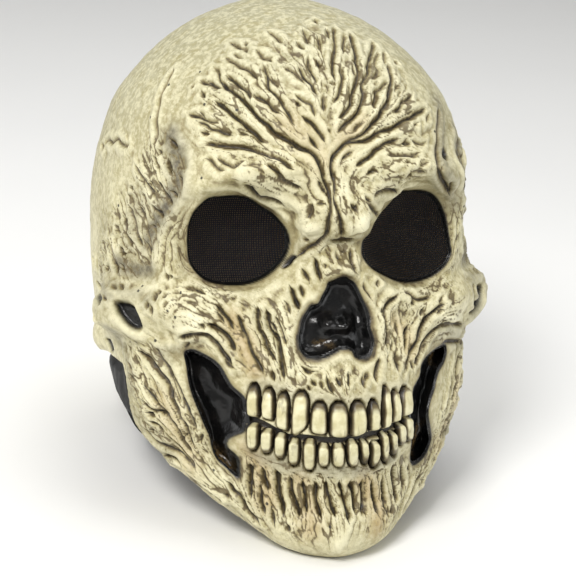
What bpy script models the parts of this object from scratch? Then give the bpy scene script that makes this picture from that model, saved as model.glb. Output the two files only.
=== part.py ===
"""Full-head skull mask of thin latex.

The skin is one hollow wall in the form of a skull: cranium, face and lower jaw. It is open at the eyes, nose,
cheeks, mouth and neck. Two screens fill the eyes, black plugs fill the nose and the cheek hollows, two rows of
teeth fill the mouth, and a black neck closes the back below the cranium. The face looks along -Y.

The head is drawn upright, with the chin's underside at height 0, and then leans back until it rests on the chin
and on the hem of the neck.
"""

import math

import bmesh
import bpy
import numpy as np

MM = 0.001

# Overall sizes of the upright head
HEAD_HEIGHT = 282 * MM
HEAD_WIDTH = 198 * MM
HEAD_DEPTH = 232 * MM

# Walls and clearances
SKIN_WALL = 2.5 * MM
NECK_WALL = 2.0 * MM
SCREEN_WALL = 1.0 * MM
PLUG_WALL = 2.0 * MM
SEAT_GAP = 0.4 * MM
FORM_RELIEF = 10 * MM

# Openings of the face, in proportion to the head, and the depths of the plugs in them
EYE_WIDTH = 0.263 * HEAD_WIDTH
EYE_HEIGHT = 0.181 * HEAD_HEIGHT
NOSE_WIDTH = 0.202 * HEAD_WIDTH
NOSE_HEIGHT = 0.1525 * HEAD_HEIGHT
HOLLOW_WIDTH = 0.141 * HEAD_WIDTH
HOLLOW_HEIGHT = 0.234 * HEAD_HEIGHT
MOUTH_WIDTH = 0.429 * HEAD_WIDTH
MOUTH_HEIGHT = 0.135 * HEAD_HEIGHT
HOLLOW_DEPTH = 11 * MM
NOSE_DEPTH = 9 * MM

# Teeth
TOOTH_RELIEF = 3.5 * MM
UPPER_TEETH = 10
LOWER_TEETH = 12

# The neck's hem and the flat that the chin rests on
HEM_BACK_HEIGHT = 34 * MM
HEM_SIDE_HEIGHT = 78 * MM
CHIN_FLAT = 1.6 * MM
HEM_FLAT_TURN = math.radians(34)
HEM_RISE_TURN = math.radians(50)

# Grid of the skin
SKIN_COLUMNS = 54
FACE_CROWDING = 0.45
RAMUS_EDGE = math.radians(84)
NECK_ROWS = 6
NECK_SECTIONS = 4.0
OUTLINE_POINTS = 26

# Sections from the crown down to the rim under the jaw. Heights are shares of HEAD_HEIGHT, at the face's
# midline and at the sides; front, widest and back are shares of HEAD_DEPTH; half_width is a share of HEAD_WIDTH.
# The powers give the squareness of the front and back halves: 2 is an ellipse, and less is more pointed.
SECTION_COLUMNS = ("mid_height", "side_height", "front", "half_width", "widest", "back", "front_power", "back_power")
SECTIONS = (
    (1.000, 1.000, 0.000, 0.000, 0.043, 0.000, 2.00, 2.00),
    (0.970, 0.970, 0.190, 0.178, 0.043, 0.155, 2.00, 2.00),
    (0.911, 0.911, 0.343, 0.315, 0.043, 0.290, 2.10, 2.00),
    (0.819, 0.819, 0.452, 0.427, 0.043, 0.415, 2.20, 2.10),
    (0.720, 0.720, 0.490, 0.475, 0.043, 0.491, 2.30, 2.20),
    (0.631, 0.631, 0.491, 0.495, 0.039, 0.517, 2.30, 2.30),
    (0.553, 0.553, 0.456, 0.500, 0.026, 0.517, 2.20, 2.40),
    (0.475, 0.475, 0.428, 0.500, 0.000, 0.509, 2.00, 2.60),
    (0.397, 0.397, 0.422, 0.493, -0.035, 0.500, 1.80, 2.80),
    (0.333, 0.348, 0.418, 0.483, -0.060, 0.487, 1.70, 2.80),
    (0.270, 0.301, 0.407, 0.472, -0.085, 0.468, 1.65, 2.60),
    (0.206, 0.266, 0.390, 0.468, -0.100, 0.454, 1.60, 2.40),
    (0.128, 0.234, 0.358, 0.462, -0.108, 0.442, 1.46, 2.30),
    (0.053, 0.206, 0.358, 0.445, -0.110, 0.424, 1.45, 2.20),
    (0.007, 0.177, 0.325, 0.413, -0.110, 0.403, 1.52, 2.20),
    (0.000, 0.163, 0.272, 0.370, -0.110, 0.386, 1.55, 2.20),
    (0.021, 0.177, 0.228, 0.335, -0.110, 0.368, 1.55, 2.20),
)
CRANIUM_END = 9.5
LAST_SECTION = len(SECTIONS) - 1

# How the jaw's lower sections rise from the chin to the angle of the jaw
JAW_RISE = 1.2

# Bones and dents. Centres and radii are shares of half the width, the depth and the height; lean is the rise of
# the form per distance out from the midline; push is a share of FORM_RELIEF, outward if positive; sharpness
# makes the foot steeper. All are mirrored.
BONE_COLUMNS = ("name", "x", "y", "z", "wide", "deep", "tall", "lean", "push", "sharpness")
BONES = (
    ("glabella", 0.00, -0.466, 0.624, 0.26, 0.13, 0.055, 0.00, 0.50, 2.0),
    ("brow", 0.45, -0.380, 0.690, 0.48, 0.19, 0.048, -0.12, 0.75, 2.0),
    ("nasion", 0.00, -0.440, 0.560, 0.15, 0.10, 0.034, 0.00, -0.50, 2.0),
    ("nasal_bone", 0.00, -0.431, 0.530, 0.13, 0.13, 0.046, 0.00, 0.50, 2.0),
    ("eye_rim", 0.46, -0.340, 0.578, 0.42, 0.24, 0.142, 0.00, 0.35, 4.0),
    ("cheekbone", 0.70, -0.267, 0.440, 0.31, 0.16, 0.060, 0.10, 0.90, 2.0),
    ("arch", 0.97, -0.125, 0.424, 0.33, 0.18, 0.090, 0.00, 1.40, 2.0),
    ("temple", 0.91, -0.181, 0.610, 0.31, 0.15, 0.121, 0.00, -0.60, 2.0),
    ("slot_under_arch", 0.93, -0.112, 0.372, 0.28, 0.10, 0.040, 0.00, -0.60, 2.0),
    ("nose_rim", 0.00, -0.431, 0.440, 0.32, 0.14, 0.110, 0.00, 0.30, 3.0),
    ("canine_fossa", 0.37, -0.380, 0.410, 0.17, 0.11, 0.055, 0.00, -0.55, 2.0),
    ("muzzle", 0.00, -0.410, 0.262, 0.54, 0.26, 0.100, 0.00, 0.65, 3.0),
    ("chin", 0.00, -0.410, 0.046, 0.48, 0.18, 0.060, 0.00, 0.60, 2.5),
    ("mastoid", 0.96, 0.138, 0.340, 0.20, 0.10, 0.055, 0.00, 0.60, 2.0),
)

# Where the openings are, as shares of half the width and of the height
EYE_PLACE = (0.46, 0.576)
NOSE_PLACE = (0.0, 0.441)
HOLLOW_PLACE = (0.565, 0.262)
MOUTH_PLACE = (0.0, 0.250)
EYE_SQUARENESS = 2.3
EYE_LEAN = -0.10

# The floor of an eye socket: its depth at the eye's centre as a share of HEAD_DEPTH, and how it slopes back
# per distance out from the midline
SOCKET_FLOOR = -0.315
SOCKET_SLOPE = 0.27
SOCKET_RIM = 1.42
SOCKET_STEEPNESS = 3.2

# Half outlines, as shares of half the width and half the height of their opening, from the top to the bottom
NOSE_OUTLINE = (
    (0.00, 1.00), (0.24, 0.88), (0.42, 0.50), (0.70, 0.02), (0.96, -0.48),
    (0.94, -0.80), (0.62, -0.98), (0.26, -0.88), (0.00, -0.70),
)
MOUTH_OUTLINE = (
    (0.00, 1.00), (0.40, 1.02), (0.75, 1.00), (0.97, 0.86), (1.00, 0.35),
    (0.96, -0.35), (0.80, -0.72), (0.42, -0.93), (0.00, -1.00),
)
# Whole outline of a cheek hollow, outer side first, from the top down and back up its inner side
HOLLOW_OUTLINE = (
    (0.55, 0.98), (0.93, 0.80), (0.98, 0.45), (0.80, 0.05), (0.48, -0.45), (0.02, -0.86),
    (-0.50, -1.00), (-0.80, -0.62), (-0.78, -0.15), (-0.68, 0.30), (-0.35, 0.72), (0.10, 1.00),
)


def catmull_rom(before, start, end, after, share):
    """Point on the smooth curve from start to end, between the knots before and after them."""
    return 0.5 * (
        2 * start
        + (end - before) * share
        + (2 * before - 5 * start + 4 * end - after) * share**2
        + (3 * start - before - 3 * end + after) * share**3
    )


def section_knots():
    """The section table in metres, mirrored above the crown and carried on below the last row."""
    table = np.array(SECTIONS)
    unit = (HEAD_HEIGHT, HEAD_HEIGHT, HEAD_DEPTH, HEAD_WIDTH, HEAD_DEPTH, HEAD_DEPTH, 1, 1)
    knots = table * np.array(unit)
    above = knots[1] * np.array((1, 1, -1, -1, 1, -1, 1, 1))
    below = 2 * knots[-1] - knots[-2]
    return np.vstack((above, knots, below))


SECTION_KNOTS = section_knots()


def section_at(level):
    """Section values at a level: 0 is the crown, and each row of the table is one further."""
    row = np.clip(np.floor(level).astype(int), 0, LAST_SECTION - 1)
    share = (level - row)[..., None]
    knots = (SECTION_KNOTS[row + step] for step in range(4))
    return catmull_rom(*knots, share)


def body_point(turn, level):
    """Point of the plain head without bones: turn is 0 at the face and grows towards +X."""
    turn, level = np.broadcast_arrays(turn, level)
    values = section_at(level)
    mid_height, side_height, front, half_width, widest, back, front_power, back_power = np.moveaxis(values, -1, 0)
    side, ahead = np.sin(turn), np.cos(turn)
    in_front = ahead >= 0
    power = 2 / np.where(in_front, front_power, back_power)
    reach = np.where(in_front, front, back)
    x = half_width * np.sign(side) * np.abs(side) ** power
    y = widest - reach * np.sign(ahead) * np.abs(ahead) ** power
    rise = np.where(in_front, (side * side) ** JAW_RISE, 1.0)
    z = mid_height + (side_height - mid_height) * rise
    return np.stack((x, y, z), -1)


def unit_vectors(vectors):
    """Vectors of length 1."""
    lengths = np.linalg.norm(vectors, axis=-1, keepdims=True)
    return vectors / np.maximum(lengths, 1e-12)


def body_normal(turn, level):
    """Outward normal of the plain head."""
    turn, level = np.broadcast_arrays(turn, level)
    step = 0.02
    along_turn = body_point(turn + step, level) - body_point(turn - step, level)
    upper = np.maximum(level - step, 0.0)
    along_level = body_point(turn, level + step) - body_point(turn, upper)
    normal = unit_vectors(np.cross(along_level, along_turn))
    at_crown = (level < step)[..., None]
    return np.where(at_crown, (0.0, 0.0, 1.0), normal)


def falloff(distance, sharpness):
    """1 at the centre of a form and 0 from its edge outward."""
    return np.clip(1 - np.clip(distance, 0, 1) ** sharpness, 0, 1) ** 2


def bone_relief(points):
    """How far the bones and dents push the head out at its points."""
    push = np.zeros(points.shape[:-1])
    from_midline = np.abs(points[..., 0])
    for name, x, y, z, wide, deep, tall, lean, height, sharpness in BONES:
        across = from_midline - x * HEAD_WIDTH / 2
        along = points[..., 1] - y * HEAD_DEPTH
        up = points[..., 2] - z * HEAD_HEIGHT - lean * across
        distance = np.sqrt(
            (across / (wide * HEAD_WIDTH / 2)) ** 2 + (along / (deep * HEAD_DEPTH)) ** 2 + (up / (tall * HEAD_HEIGHT)) ** 2
        )
        push += height * FORM_RELIEF * falloff(distance, sharpness)
    return push


def sunk_sockets(points):
    """The points with the eye sockets pressed in to their floors."""
    across = np.abs(points[..., 0]) - EYE_PLACE[0] * HEAD_WIDTH / 2
    up = points[..., 2] - EYE_PLACE[1] * HEAD_HEIGHT - EYE_LEAN * across
    distance = np.hypot(across / (EYE_WIDTH / 2), up / (EYE_HEIGHT / 2)) / SOCKET_RIM
    share = falloff(distance, SOCKET_STEEPNESS)
    floor = SOCKET_FLOOR * HEAD_DEPTH + SOCKET_SLOPE * across
    depth = np.where(points[..., 1] < 0, np.maximum(floor - points[..., 1], 0), 0)
    sunk = points.copy()
    sunk[..., 1] += share * depth
    return sunk


def skin_point(turn, level, depth=0.0):
    """Point of the skin's outer face, or of a face that lies depth inside it."""
    body = body_point(turn, level)
    normal = body_normal(turn, level)
    outer = sunk_sockets(body + normal * bone_relief(body)[..., None])
    return outer - normal * depth


def place_at(x, z, depth=0.0):
    """Point of the face at the given x and z, found by a few Newton steps over turn and level."""
    heights = SECTION_KNOTS[1:-1, 0]
    levels = np.arange(len(heights), dtype=float)
    level = np.interp(-z, -np.minimum.accumulate(heights), levels)
    turn = np.arcsin(np.clip(x / (HEAD_WIDTH / 2), -0.99, 0.99))
    step = 0.01
    for _ in range(12):
        here = skin_point(turn, level, depth)
        by_turn = (skin_point(turn + step, level, depth) - here) / step
        by_level = (skin_point(turn, level + step, depth) - here) / step
        miss_x, miss_z = x - here[..., 0], z - here[..., 2]
        area = by_turn[..., 0] * by_level[..., 2] - by_turn[..., 2] * by_level[..., 0]
        area = np.where(np.abs(area) < 1e-9, 1e-9, area)
        turn_step = (miss_x * by_level[..., 2] - miss_z * by_level[..., 0]) / area
        level_step = (miss_z * by_turn[..., 0] - miss_x * by_turn[..., 2]) / area
        turn = turn + np.clip(turn_step, -0.1, 0.1)
        level = np.clip(level + np.clip(level_step, -0.5, 0.5), 0.05, LAST_SECTION - 0.05)
    return skin_point(turn, level, depth)


def closed_curve(points, count):
    """Smooth closed curve through a few points, as count points spaced evenly by length."""
    knots = np.array(points, dtype=float)
    fine = []
    for index in range(len(knots)):
        four = [knots[(index + step) % len(knots)] for step in (-1, 0, 1, 2)]
        for share in np.arange(0, 1, 0.05):
            fine.append(catmull_rom(*four, share))
    fine.append(fine[0])
    fine = np.array(fine)
    travelled = np.concatenate(([0], np.cumsum(np.linalg.norm(np.diff(fine, axis=0), axis=1))))
    stops = np.linspace(0, travelled[-1], count, endpoint=False)
    return np.stack([np.interp(stops, travelled, fine[:, axis]) for axis in (0, 1)], -1)


def mirrored(half):
    """Whole outline from the half on the +X side."""
    left = [(-x, z) for x, z in reversed(half) if x > 0]
    return list(half) + left


def placed(outline, place, width, height):
    """Outline in metres on the face: x and z of each point."""
    centre = np.array((place[0] * HEAD_WIDTH / 2, place[1] * HEAD_HEIGHT))
    return centre + outline * np.array((width / 2, height / 2))


def eye_outline():
    """Rounded opening of the +X eye."""
    angles = np.linspace(0, 2 * math.pi, OUTLINE_POINTS, endpoint=False)
    power = 2 / EYE_SQUARENESS
    across = np.sign(np.cos(angles)) * np.abs(np.cos(angles)) ** power
    up = np.sign(np.sin(angles)) * np.abs(np.sin(angles)) ** power
    up = up + EYE_LEAN * across * EYE_WIDTH / EYE_HEIGHT
    return placed(np.stack((across, up), -1), EYE_PLACE, EYE_WIDTH, EYE_HEIGHT)


def nose_outline():
    """Pear-shaped opening of the nose, notched by the spine below."""
    return placed(closed_curve(mirrored(NOSE_OUTLINE), OUTLINE_POINTS), NOSE_PLACE, NOSE_WIDTH, NOSE_HEIGHT)


def hollow_outline():
    """Opening under the +X cheekbone, between the teeth and the jaw's upright branch."""
    curve = closed_curve(HOLLOW_OUTLINE, OUTLINE_POINTS)
    return placed(curve, HOLLOW_PLACE, HOLLOW_WIDTH, HOLLOW_HEIGHT)


def mouth_outline():
    """Opening of the mouth, from gum to gum."""
    return placed(closed_curve(mirrored(MOUTH_OUTLINE), 2 * OUTLINE_POINTS), MOUTH_PLACE, MOUTH_WIDTH, MOUTH_HEIGHT)


def flip_side(outline):
    """The same outline on the -X side."""
    return outline[::-1] * np.array((-1, 1))


def rest_line():
    """Height at y = 0 and slope of the floor under the upright head, which touches its chin and hem."""
    chin_y = (SECTIONS[-2][4] - SECTIONS[-2][2]) * HEAD_DEPTH
    hem_y = neck_point(np.array(math.pi), np.array(CRANIUM_END + NECK_SECTIONS))[1]
    slope = (HEM_BACK_HEIGHT - CHIN_FLAT) / (hem_y - chin_y)
    return CHIN_FLAT - slope * chin_y, slope


def floor_height(y):
    """Height of the floor at a depth y of the upright head."""
    height, slope = rest_line()
    return height + slope * y


def neck_point(turn, level):
    """Point of the neck's outer face, which passes just inside the skin's edges."""
    inset = SKIN_WALL + 2 * SEAT_GAP
    return body_point(turn, level) - body_normal(turn, level) * inset


def skin_turns():
    """Turns of the skin's columns, crowded towards the face, with one column on each rear edge of the jaw."""
    even = np.linspace(-math.pi, math.pi, SKIN_COLUMNS, endpoint=False)
    turns = even - FACE_CROWDING * np.sin(even)
    edge = np.argmin(np.abs(turns - RAMUS_EDGE))
    turns[edge] = RAMUS_EDGE
    turns[SKIN_COLUMNS - edge] = -RAMUS_EDGE
    return turns


def skin_levels():
    """Levels of the skin's rows: wide apart over the cranium, close over the face and around the jaw's rim."""
    dome = np.linspace(0.0, 3.6, 6, endpoint=False)
    face = np.linspace(3.6, CRANIUM_END, 17, endpoint=False)
    jaw = np.linspace(CRANIUM_END, LAST_SECTION, 12)
    return np.concatenate((dome, face, jaw))


def add_object(name, mesh, material):
    """Object for a mesh, with its own material."""
    mesh.materials.append(material)
    mesh.shade_smooth()
    mesh.set_sharp_from_angle(angle=math.radians(50))
    piece = bpy.data.objects.new(name, mesh)
    bpy.context.collection.objects.link(piece)
    return piece


def mesh_from_grid(name, rows, keep=None):
    """Open mesh from rows of points that close around the head. keep says which faces stay."""
    form = bmesh.new()
    count = rows.shape[1]
    crown = form.verts.new(rows[0, 0])
    rings = [[form.verts.new(point) for point in row] for row in rows[1:]]
    for column in range(count):
        after = (column + 1) % count
        form.faces.new((crown, rings[0][column], rings[0][after]))
    for row in range(len(rings) - 1):
        for column in range(count):
            after = (column + 1) % count
            if keep is None or keep[row + 1, column]:
                upper, lower = rings[row], rings[row + 1]
                form.faces.new((upper[column], lower[column], lower[after], upper[after]))
    loose = [vertex for vertex in form.verts if not vertex.link_faces]
    bmesh.ops.delete(form, geom=loose, context="VERTS")
    mesh = bpy.data.meshes.new(name)
    form.to_mesh(mesh)
    form.free()
    return mesh


def make_skin(material):
    """Hollow wall of the cranium, face and jaw, before its openings are cut."""
    turn, level = np.meshgrid(skin_turns(), skin_levels())
    points = skin_point(turn, level)
    points[..., 2] = np.maximum(points[..., 2], floor_height(points[..., 1]))
    middle = turn + 0.5 * ((np.roll(turn, -1, axis=1) - turn) % (2 * math.pi))
    on_jaw = np.abs(middle) < RAMUS_EDGE
    keep = on_jaw | (level < CRANIUM_END - 1e-6)
    piece = add_object("skull_skin", mesh_from_grid("skull_skin", points, keep), material)
    wall = piece.modifiers.new("wall", "SOLIDIFY")
    wall.thickness = SKIN_WALL
    wall.offset = -1
    wall.use_even_offset = True
    wall.thickness_clamp = 1.0
    return piece


def make_cutter(name, outline):
    """Prism along Y through the face, as a guide that isn't part of the mask."""
    front_y, back_y = -0.62 * HEAD_DEPTH, -0.12 * HEAD_DEPTH
    form = bmesh.new()
    ring = [form.verts.new((x, front_y, z)) for x, z in outline]
    face = form.faces.new(ring)
    extruded = bmesh.ops.extrude_face_region(form, geom=[face])
    far = [item for item in extruded["geom"] if isinstance(item, bmesh.types.BMVert)]
    bmesh.ops.translate(form, verts=far, vec=(0, back_y - front_y, 0))
    bmesh.ops.recalc_face_normals(form, faces=form.faces)
    mesh = bpy.data.meshes.new(name)
    form.to_mesh(mesh)
    form.free()
    cutter = bpy.data.objects.new(name, mesh)
    bpy.context.collection.objects.link(cutter)
    cutter.hide_render = True
    cutter.display_type = "WIRE"
    return cutter


def cut(piece, cutter):
    """Takes the cutter's shape out of a piece."""
    opening = piece.modifiers.new(cutter.name, "BOOLEAN")
    opening.operation = "DIFFERENCE"
    opening.object = cutter


def shell_mesh(name, front, back):
    """Closed mesh between two grids of rings that run from a rim (first row) to a middle point (last row)."""
    form = bmesh.new()
    count = front.shape[1]
    faces = []
    for rings, outward in ((front, 1), (back, -1)):
        side = [[form.verts.new(point) for point in ring] for ring in rings[:-1]]
        middle = form.verts.new(rings[-1, 0])
        faces.append(side[0])
        for outer, inner in zip(side, side[1:]):
            for column in range(count):
                after = (column + 1) % count
                corners = (outer[column], outer[after], inner[after], inner[column])
                form.faces.new(corners[::outward])
        for column in range(count):
            after = (column + 1) % count
            form.faces.new((side[-1][column], side[-1][after], middle)[::outward])
    front_rim, back_rim = faces
    for column in range(count):
        after = (column + 1) % count
        form.faces.new((front_rim[after], front_rim[column], back_rim[column], back_rim[after]))
    bmesh.ops.recalc_face_normals(form, faces=form.faces)
    mesh = bpy.data.meshes.new(name)
    form.to_mesh(mesh)
    form.free()
    return mesh


def make_plug(name, outline, rings, sink, wall, material):
    """Piece that fills an opening: rings are shares of the outline's size, and sink gives how deep each lies."""
    centre = outline.mean(axis=0)
    spans = outline - centre
    lengths = np.linalg.norm(spans, axis=1, keepdims=True)
    fitted = spans * (1 - 1.5 * SEAT_GAP / lengths)
    shares = np.array(rings)[:, None, None]
    flat = centre + shares * fitted
    front = place_at(flat[..., 0], flat[..., 1], SKIN_WALL / 4)
    share = np.broadcast_to(shares[..., 0], front.shape[:-1])
    front[..., 1] += sink(share, flat[..., 0] - centre[0], flat[..., 1] - centre[1])
    back = front + np.array((0, wall, 0))
    return add_object(name, shell_mesh(name, front, back), material)


def no_sink(share, across, up):
    """A plug that is level with its opening."""
    return np.zeros_like(share)


def cup_sink(share, across, up):
    """A hollow cup."""
    return HOLLOW_DEPTH * (1 - share**3)


def bulb_sink(share, across, up):
    """A recess with two rounded lobes standing up in it."""
    recess = NOSE_DEPTH * (1 - share**4)
    lobe_x, lobe_z = 0.36 * NOSE_WIDTH / 2, -0.30 * NOSE_HEIGHT / 2
    across_lobe = (np.abs(across) - lobe_x) / (0.42 * NOSE_WIDTH / 2)
    up_lobe = (up - lobe_z) / (0.75 * NOSE_HEIGHT / 2)
    lobe = falloff(np.hypot(across_lobe, up_lobe), 2.0)
    return recess - 0.75 * NOSE_DEPTH * lobe


def tooth_height(across, count, up):
    """Share of TOOTH_RELIEF over a row of teeth: across and up run from 0 to 1, and up is 1 at the biting edge."""
    middle = np.abs(2 * across - 1)
    narrowing = across + 0.035 * np.sin(2 * math.pi * across)
    phase = narrowing * count
    from_centre = np.abs(2 * (phase - np.floor(phase)) - 1)
    crown = 1 - from_centre**4
    swell = np.sin(math.pi * np.clip(0.12 + 0.80 * up, 0, 1)) ** 0.7
    return crown * swell * (1 - 0.35 * middle**2)


def mouth_line(outline, across):
    """Upper and lower edge of the mouth's opening at each x."""
    order = np.argsort(outline[:, 0])
    middle = outline[:, 1].mean()
    upper = outline[order][outline[order][:, 1] > middle]
    lower = outline[order][outline[order][:, 1] <= middle]
    top = np.interp(across, upper[:, 0], upper[:, 1])
    bottom = np.interp(across, lower[:, 0], lower[:, 1])
    return top, bottom


def make_teeth(name, count, is_upper, material):
    """One row of teeth on its gum, which fills the mouth down or up to the bite."""
    outline = mouth_outline()
    half = MOUTH_WIDTH / 2 - 3 * SEAT_GAP
    columns = 4 * count + 1
    rows = 6
    across = np.linspace(0, 1, columns)
    x = half * np.sin((2 * across - 1) * math.radians(72)) / math.sin(math.radians(72))
    top, bottom = mouth_line(outline, x)
    bite = MOUTH_PLACE[1] * HEAD_HEIGHT - 0.30 * MOUTH_HEIGHT / 2 + 0.12 * MOUTH_HEIGHT * (x / half) ** 2
    fit = 1.5 * SEAT_GAP
    gum = top - fit if is_upper else bottom + fit
    edge = bite + SEAT_GAP / 2 if is_upper else bite - SEAT_GAP / 2
    up = np.linspace(0, 1, rows)[:, None]
    z = gum + (edge - gum) * up
    x = np.broadcast_to(x, z.shape)
    front = place_at(x, z, SKIN_WALL / 4)
    relief = TOOTH_RELIEF * tooth_height(np.broadcast_to(across, z.shape), count, up)
    back = front + np.array((0, PLUG_WALL, 0))
    inside_rim = np.zeros_like(z)
    inside_rim[1:, 1:-1] = 1
    front[..., 1] -= relief * inside_rim
    return add_object(name, slab_mesh(name, front, back), material)


def slab_mesh(name, front, back):
    """Closed mesh between two open grids of the same size."""
    form = bmesh.new()
    rows, columns = front.shape[:2]
    front_grid = [[form.verts.new(point) for point in row] for row in front]
    back_grid = [[form.verts.new(point) for point in row] for row in back]
    for grid in (front_grid, back_grid):
        for row in range(rows - 1):
            for column in range(columns - 1):
                form.faces.new(
                    (grid[row][column], grid[row + 1][column], grid[row + 1][column + 1], grid[row][column + 1])
                )
    rim = [(0, column) for column in range(columns)]
    rim += [(row, columns - 1) for row in range(1, rows)]
    rim += [(rows - 1, column) for column in range(columns - 2, -1, -1)]
    rim += [(row, 0) for row in range(rows - 2, 0, -1)]
    for (row, column), (next_row, next_column) in zip(rim, rim[1:] + rim[:1]):
        form.faces.new(
            (
                front_grid[row][column],
                front_grid[next_row][next_column],
                back_grid[next_row][next_column],
                back_grid[row][column],
            )
        )
    bmesh.ops.recalc_face_normals(form, faces=form.faces)
    mesh = bpy.data.meshes.new(name)
    form.to_mesh(mesh)
    form.free()
    return mesh


def make_neck(material):
    """Black back of the neck: from inside the cranium's edge down to the hem, and in behind the jaw's edges."""
    turns = skin_turns() % (2 * math.pi)
    jaw_step = RAMUS_EDGE - np.max(turns[turns < RAMUS_EDGE - 0.01])
    turn = np.sort(turns[np.abs(turns - math.pi) < math.pi - RAMUS_EDGE + 1.01 * jaw_step])
    levels = skin_levels()
    tucked = np.max(levels[levels < CRANIUM_END - 0.01])
    down = np.linspace(0, 1, NECK_ROWS)[:, None]
    rows = CRANIUM_END + NECK_SECTIONS * down
    outer = neck_point(turn, np.vstack(([[tucked]], rows)))
    top = outer[1, :, 2]
    around = np.clip((np.abs(turn - math.pi) - HEM_FLAT_TURN) / HEM_RISE_TURN, 0, 1)
    rise = around**2 * (3 - 2 * around)
    hem = floor_height(outer[-1, :, 1]) + (HEM_SIDE_HEIGHT - HEM_BACK_HEIGHT) * rise
    outer[1:, :, 2] = top + (hem - top) * down
    sideways = np.gradient(outer, axis=1)
    inward = unit_vectors(np.stack((sideways[..., 1], -sideways[..., 0], np.zeros_like(outer[..., 0])), -1))
    inner = outer - inward * NECK_WALL
    return add_object("neck", slab_mesh("neck", outer, inner), material)


def make_material(name, colour, roughness):
    """Plain shader with a colour and a roughness."""
    material = bpy.data.materials.new(name)
    material.use_nodes = True
    shader = material.node_tree.nodes["Principled BSDF"]
    shader.inputs["Base Color"].default_value = (*colour, 1)
    shader.inputs["Roughness"].default_value = roughness
    return material


def make_mask():
    """All pieces of the upright head."""
    bone = make_material("bone_latex", (0.62, 0.55, 0.38), 0.6)
    black = make_material("black_latex", (0.015, 0.014, 0.013), 0.25)
    mesh_cloth = make_material("screen_cloth", (0.02, 0.018, 0.016), 0.9)
    enamel = make_material("tooth_latex", (0.70, 0.64, 0.46), 0.45)
    skin = make_skin(bone)
    eye, nose, hollow, mouth = eye_outline(), nose_outline(), hollow_outline(), mouth_outline()
    openings = {
        "cut_eye_left": eye,
        "cut_eye_right": flip_side(eye),
        "cut_nose": nose,
        "cut_hollow_left": hollow,
        "cut_hollow_right": flip_side(hollow),
        "cut_mouth": mouth,
    }
    for name, outline in openings.items():
        cut(skin, make_cutter(name, outline))
    pieces = [skin, make_neck(black)]
    plug_rings = (1.0, 0.8, 0.45, 0.0)
    nose_rings = (1.0, 0.85, 0.65, 0.42, 0.2, 0.0)
    for side, place in (("left", lambda outline: outline), ("right", flip_side)):
        pieces.append(make_plug(f"eye_screen_{side}", place(eye), (1.0, 0.5, 0.0), no_sink, SCREEN_WALL, mesh_cloth))
        pieces.append(make_plug(f"cheek_lining_{side}", place(hollow), plug_rings, cup_sink, PLUG_WALL, black))
    pieces.append(make_plug("nose_lining", nose, nose_rings, bulb_sink, PLUG_WALL, black))
    pieces.append(make_teeth("upper_teeth", UPPER_TEETH, True, enamel))
    pieces.append(make_teeth("lower_teeth", LOWER_TEETH, False, enamel))
    return pieces, [bpy.data.objects[name] for name in openings]


def bounds_of(pieces):
    """Smallest and largest corner of the pieces in the world."""
    bpy.context.view_layer.update()
    graph = bpy.context.evaluated_depsgraph_get()
    corners = []
    for piece in pieces:
        evaluated = piece.evaluated_get(graph)
        mesh = evaluated.to_mesh()
        flat = np.empty(3 * len(mesh.vertices))
        mesh.vertices.foreach_get("co", flat)
        matrix = np.array(evaluated.matrix_world)
        corners.append(flat.reshape(-1, 3) @ matrix[:3, :3].T + matrix[:3, 3])
        evaluated.to_mesh_clear()
    corners = np.vstack(corners)
    return corners.min(axis=0), corners.max(axis=0)


def set_down(pieces, guides):
    """Leans the head back onto its chin and hem, over the middle of its own footprint."""
    rest = bpy.data.objects.new("rest", None)
    bpy.context.collection.objects.link(rest)
    slope = rest_line()[1]
    rest.rotation_euler = (-math.atan(slope), 0, 0)
    for item in pieces + guides:
        item.parent = rest
    low, high = bounds_of(pieces)
    rest.location = (0, -(low[1] + high[1]) / 2, -low[2])


def main():
    """Builds the mask in an empty scene."""
    for item in list(bpy.data.objects):
        bpy.data.objects.remove(item, do_unlink=True)
    pieces, guides = make_mask()
    set_down(pieces, guides)
    bpy.context.view_layer.update()


main()
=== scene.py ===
"""Looks of the full-head skull mask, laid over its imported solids.

The skin repeats the head's form from the same named sizes as the solids, on a grid fine enough for the grooves,
strands and folds of the sculpture. Places on the face are given as pixels of the 576 x 576 photograph: a line of
sight from the camera through the pixel meets the skin there, so each form sits on the head from any side.
"""

import math

import bpy
import numpy as np
from mathutils import Matrix, Vector
from mathutils.bvhtree import BVHTree


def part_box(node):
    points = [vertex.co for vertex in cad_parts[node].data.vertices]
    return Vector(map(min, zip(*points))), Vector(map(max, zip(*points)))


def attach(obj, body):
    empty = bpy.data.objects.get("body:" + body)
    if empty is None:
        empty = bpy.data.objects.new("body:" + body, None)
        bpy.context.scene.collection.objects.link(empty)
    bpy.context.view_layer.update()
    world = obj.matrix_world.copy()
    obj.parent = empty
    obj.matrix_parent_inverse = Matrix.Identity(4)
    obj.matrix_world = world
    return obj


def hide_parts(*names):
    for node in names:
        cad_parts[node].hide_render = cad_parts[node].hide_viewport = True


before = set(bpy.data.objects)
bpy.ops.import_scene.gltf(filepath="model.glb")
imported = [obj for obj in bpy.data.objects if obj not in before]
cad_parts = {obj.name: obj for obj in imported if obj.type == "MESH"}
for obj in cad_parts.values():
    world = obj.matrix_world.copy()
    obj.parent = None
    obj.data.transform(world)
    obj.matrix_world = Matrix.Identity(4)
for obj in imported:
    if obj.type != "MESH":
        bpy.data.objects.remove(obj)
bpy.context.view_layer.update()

MM = 0.001

# Overall sizes of the upright head
HEAD_HEIGHT = 282 * MM
HEAD_WIDTH = 198 * MM
HEAD_DEPTH = 232 * MM
SKIN_WALL = 2.5 * MM
SEAT_GAP = 0.4 * MM
FORM_RELIEF = 10 * MM

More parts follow.
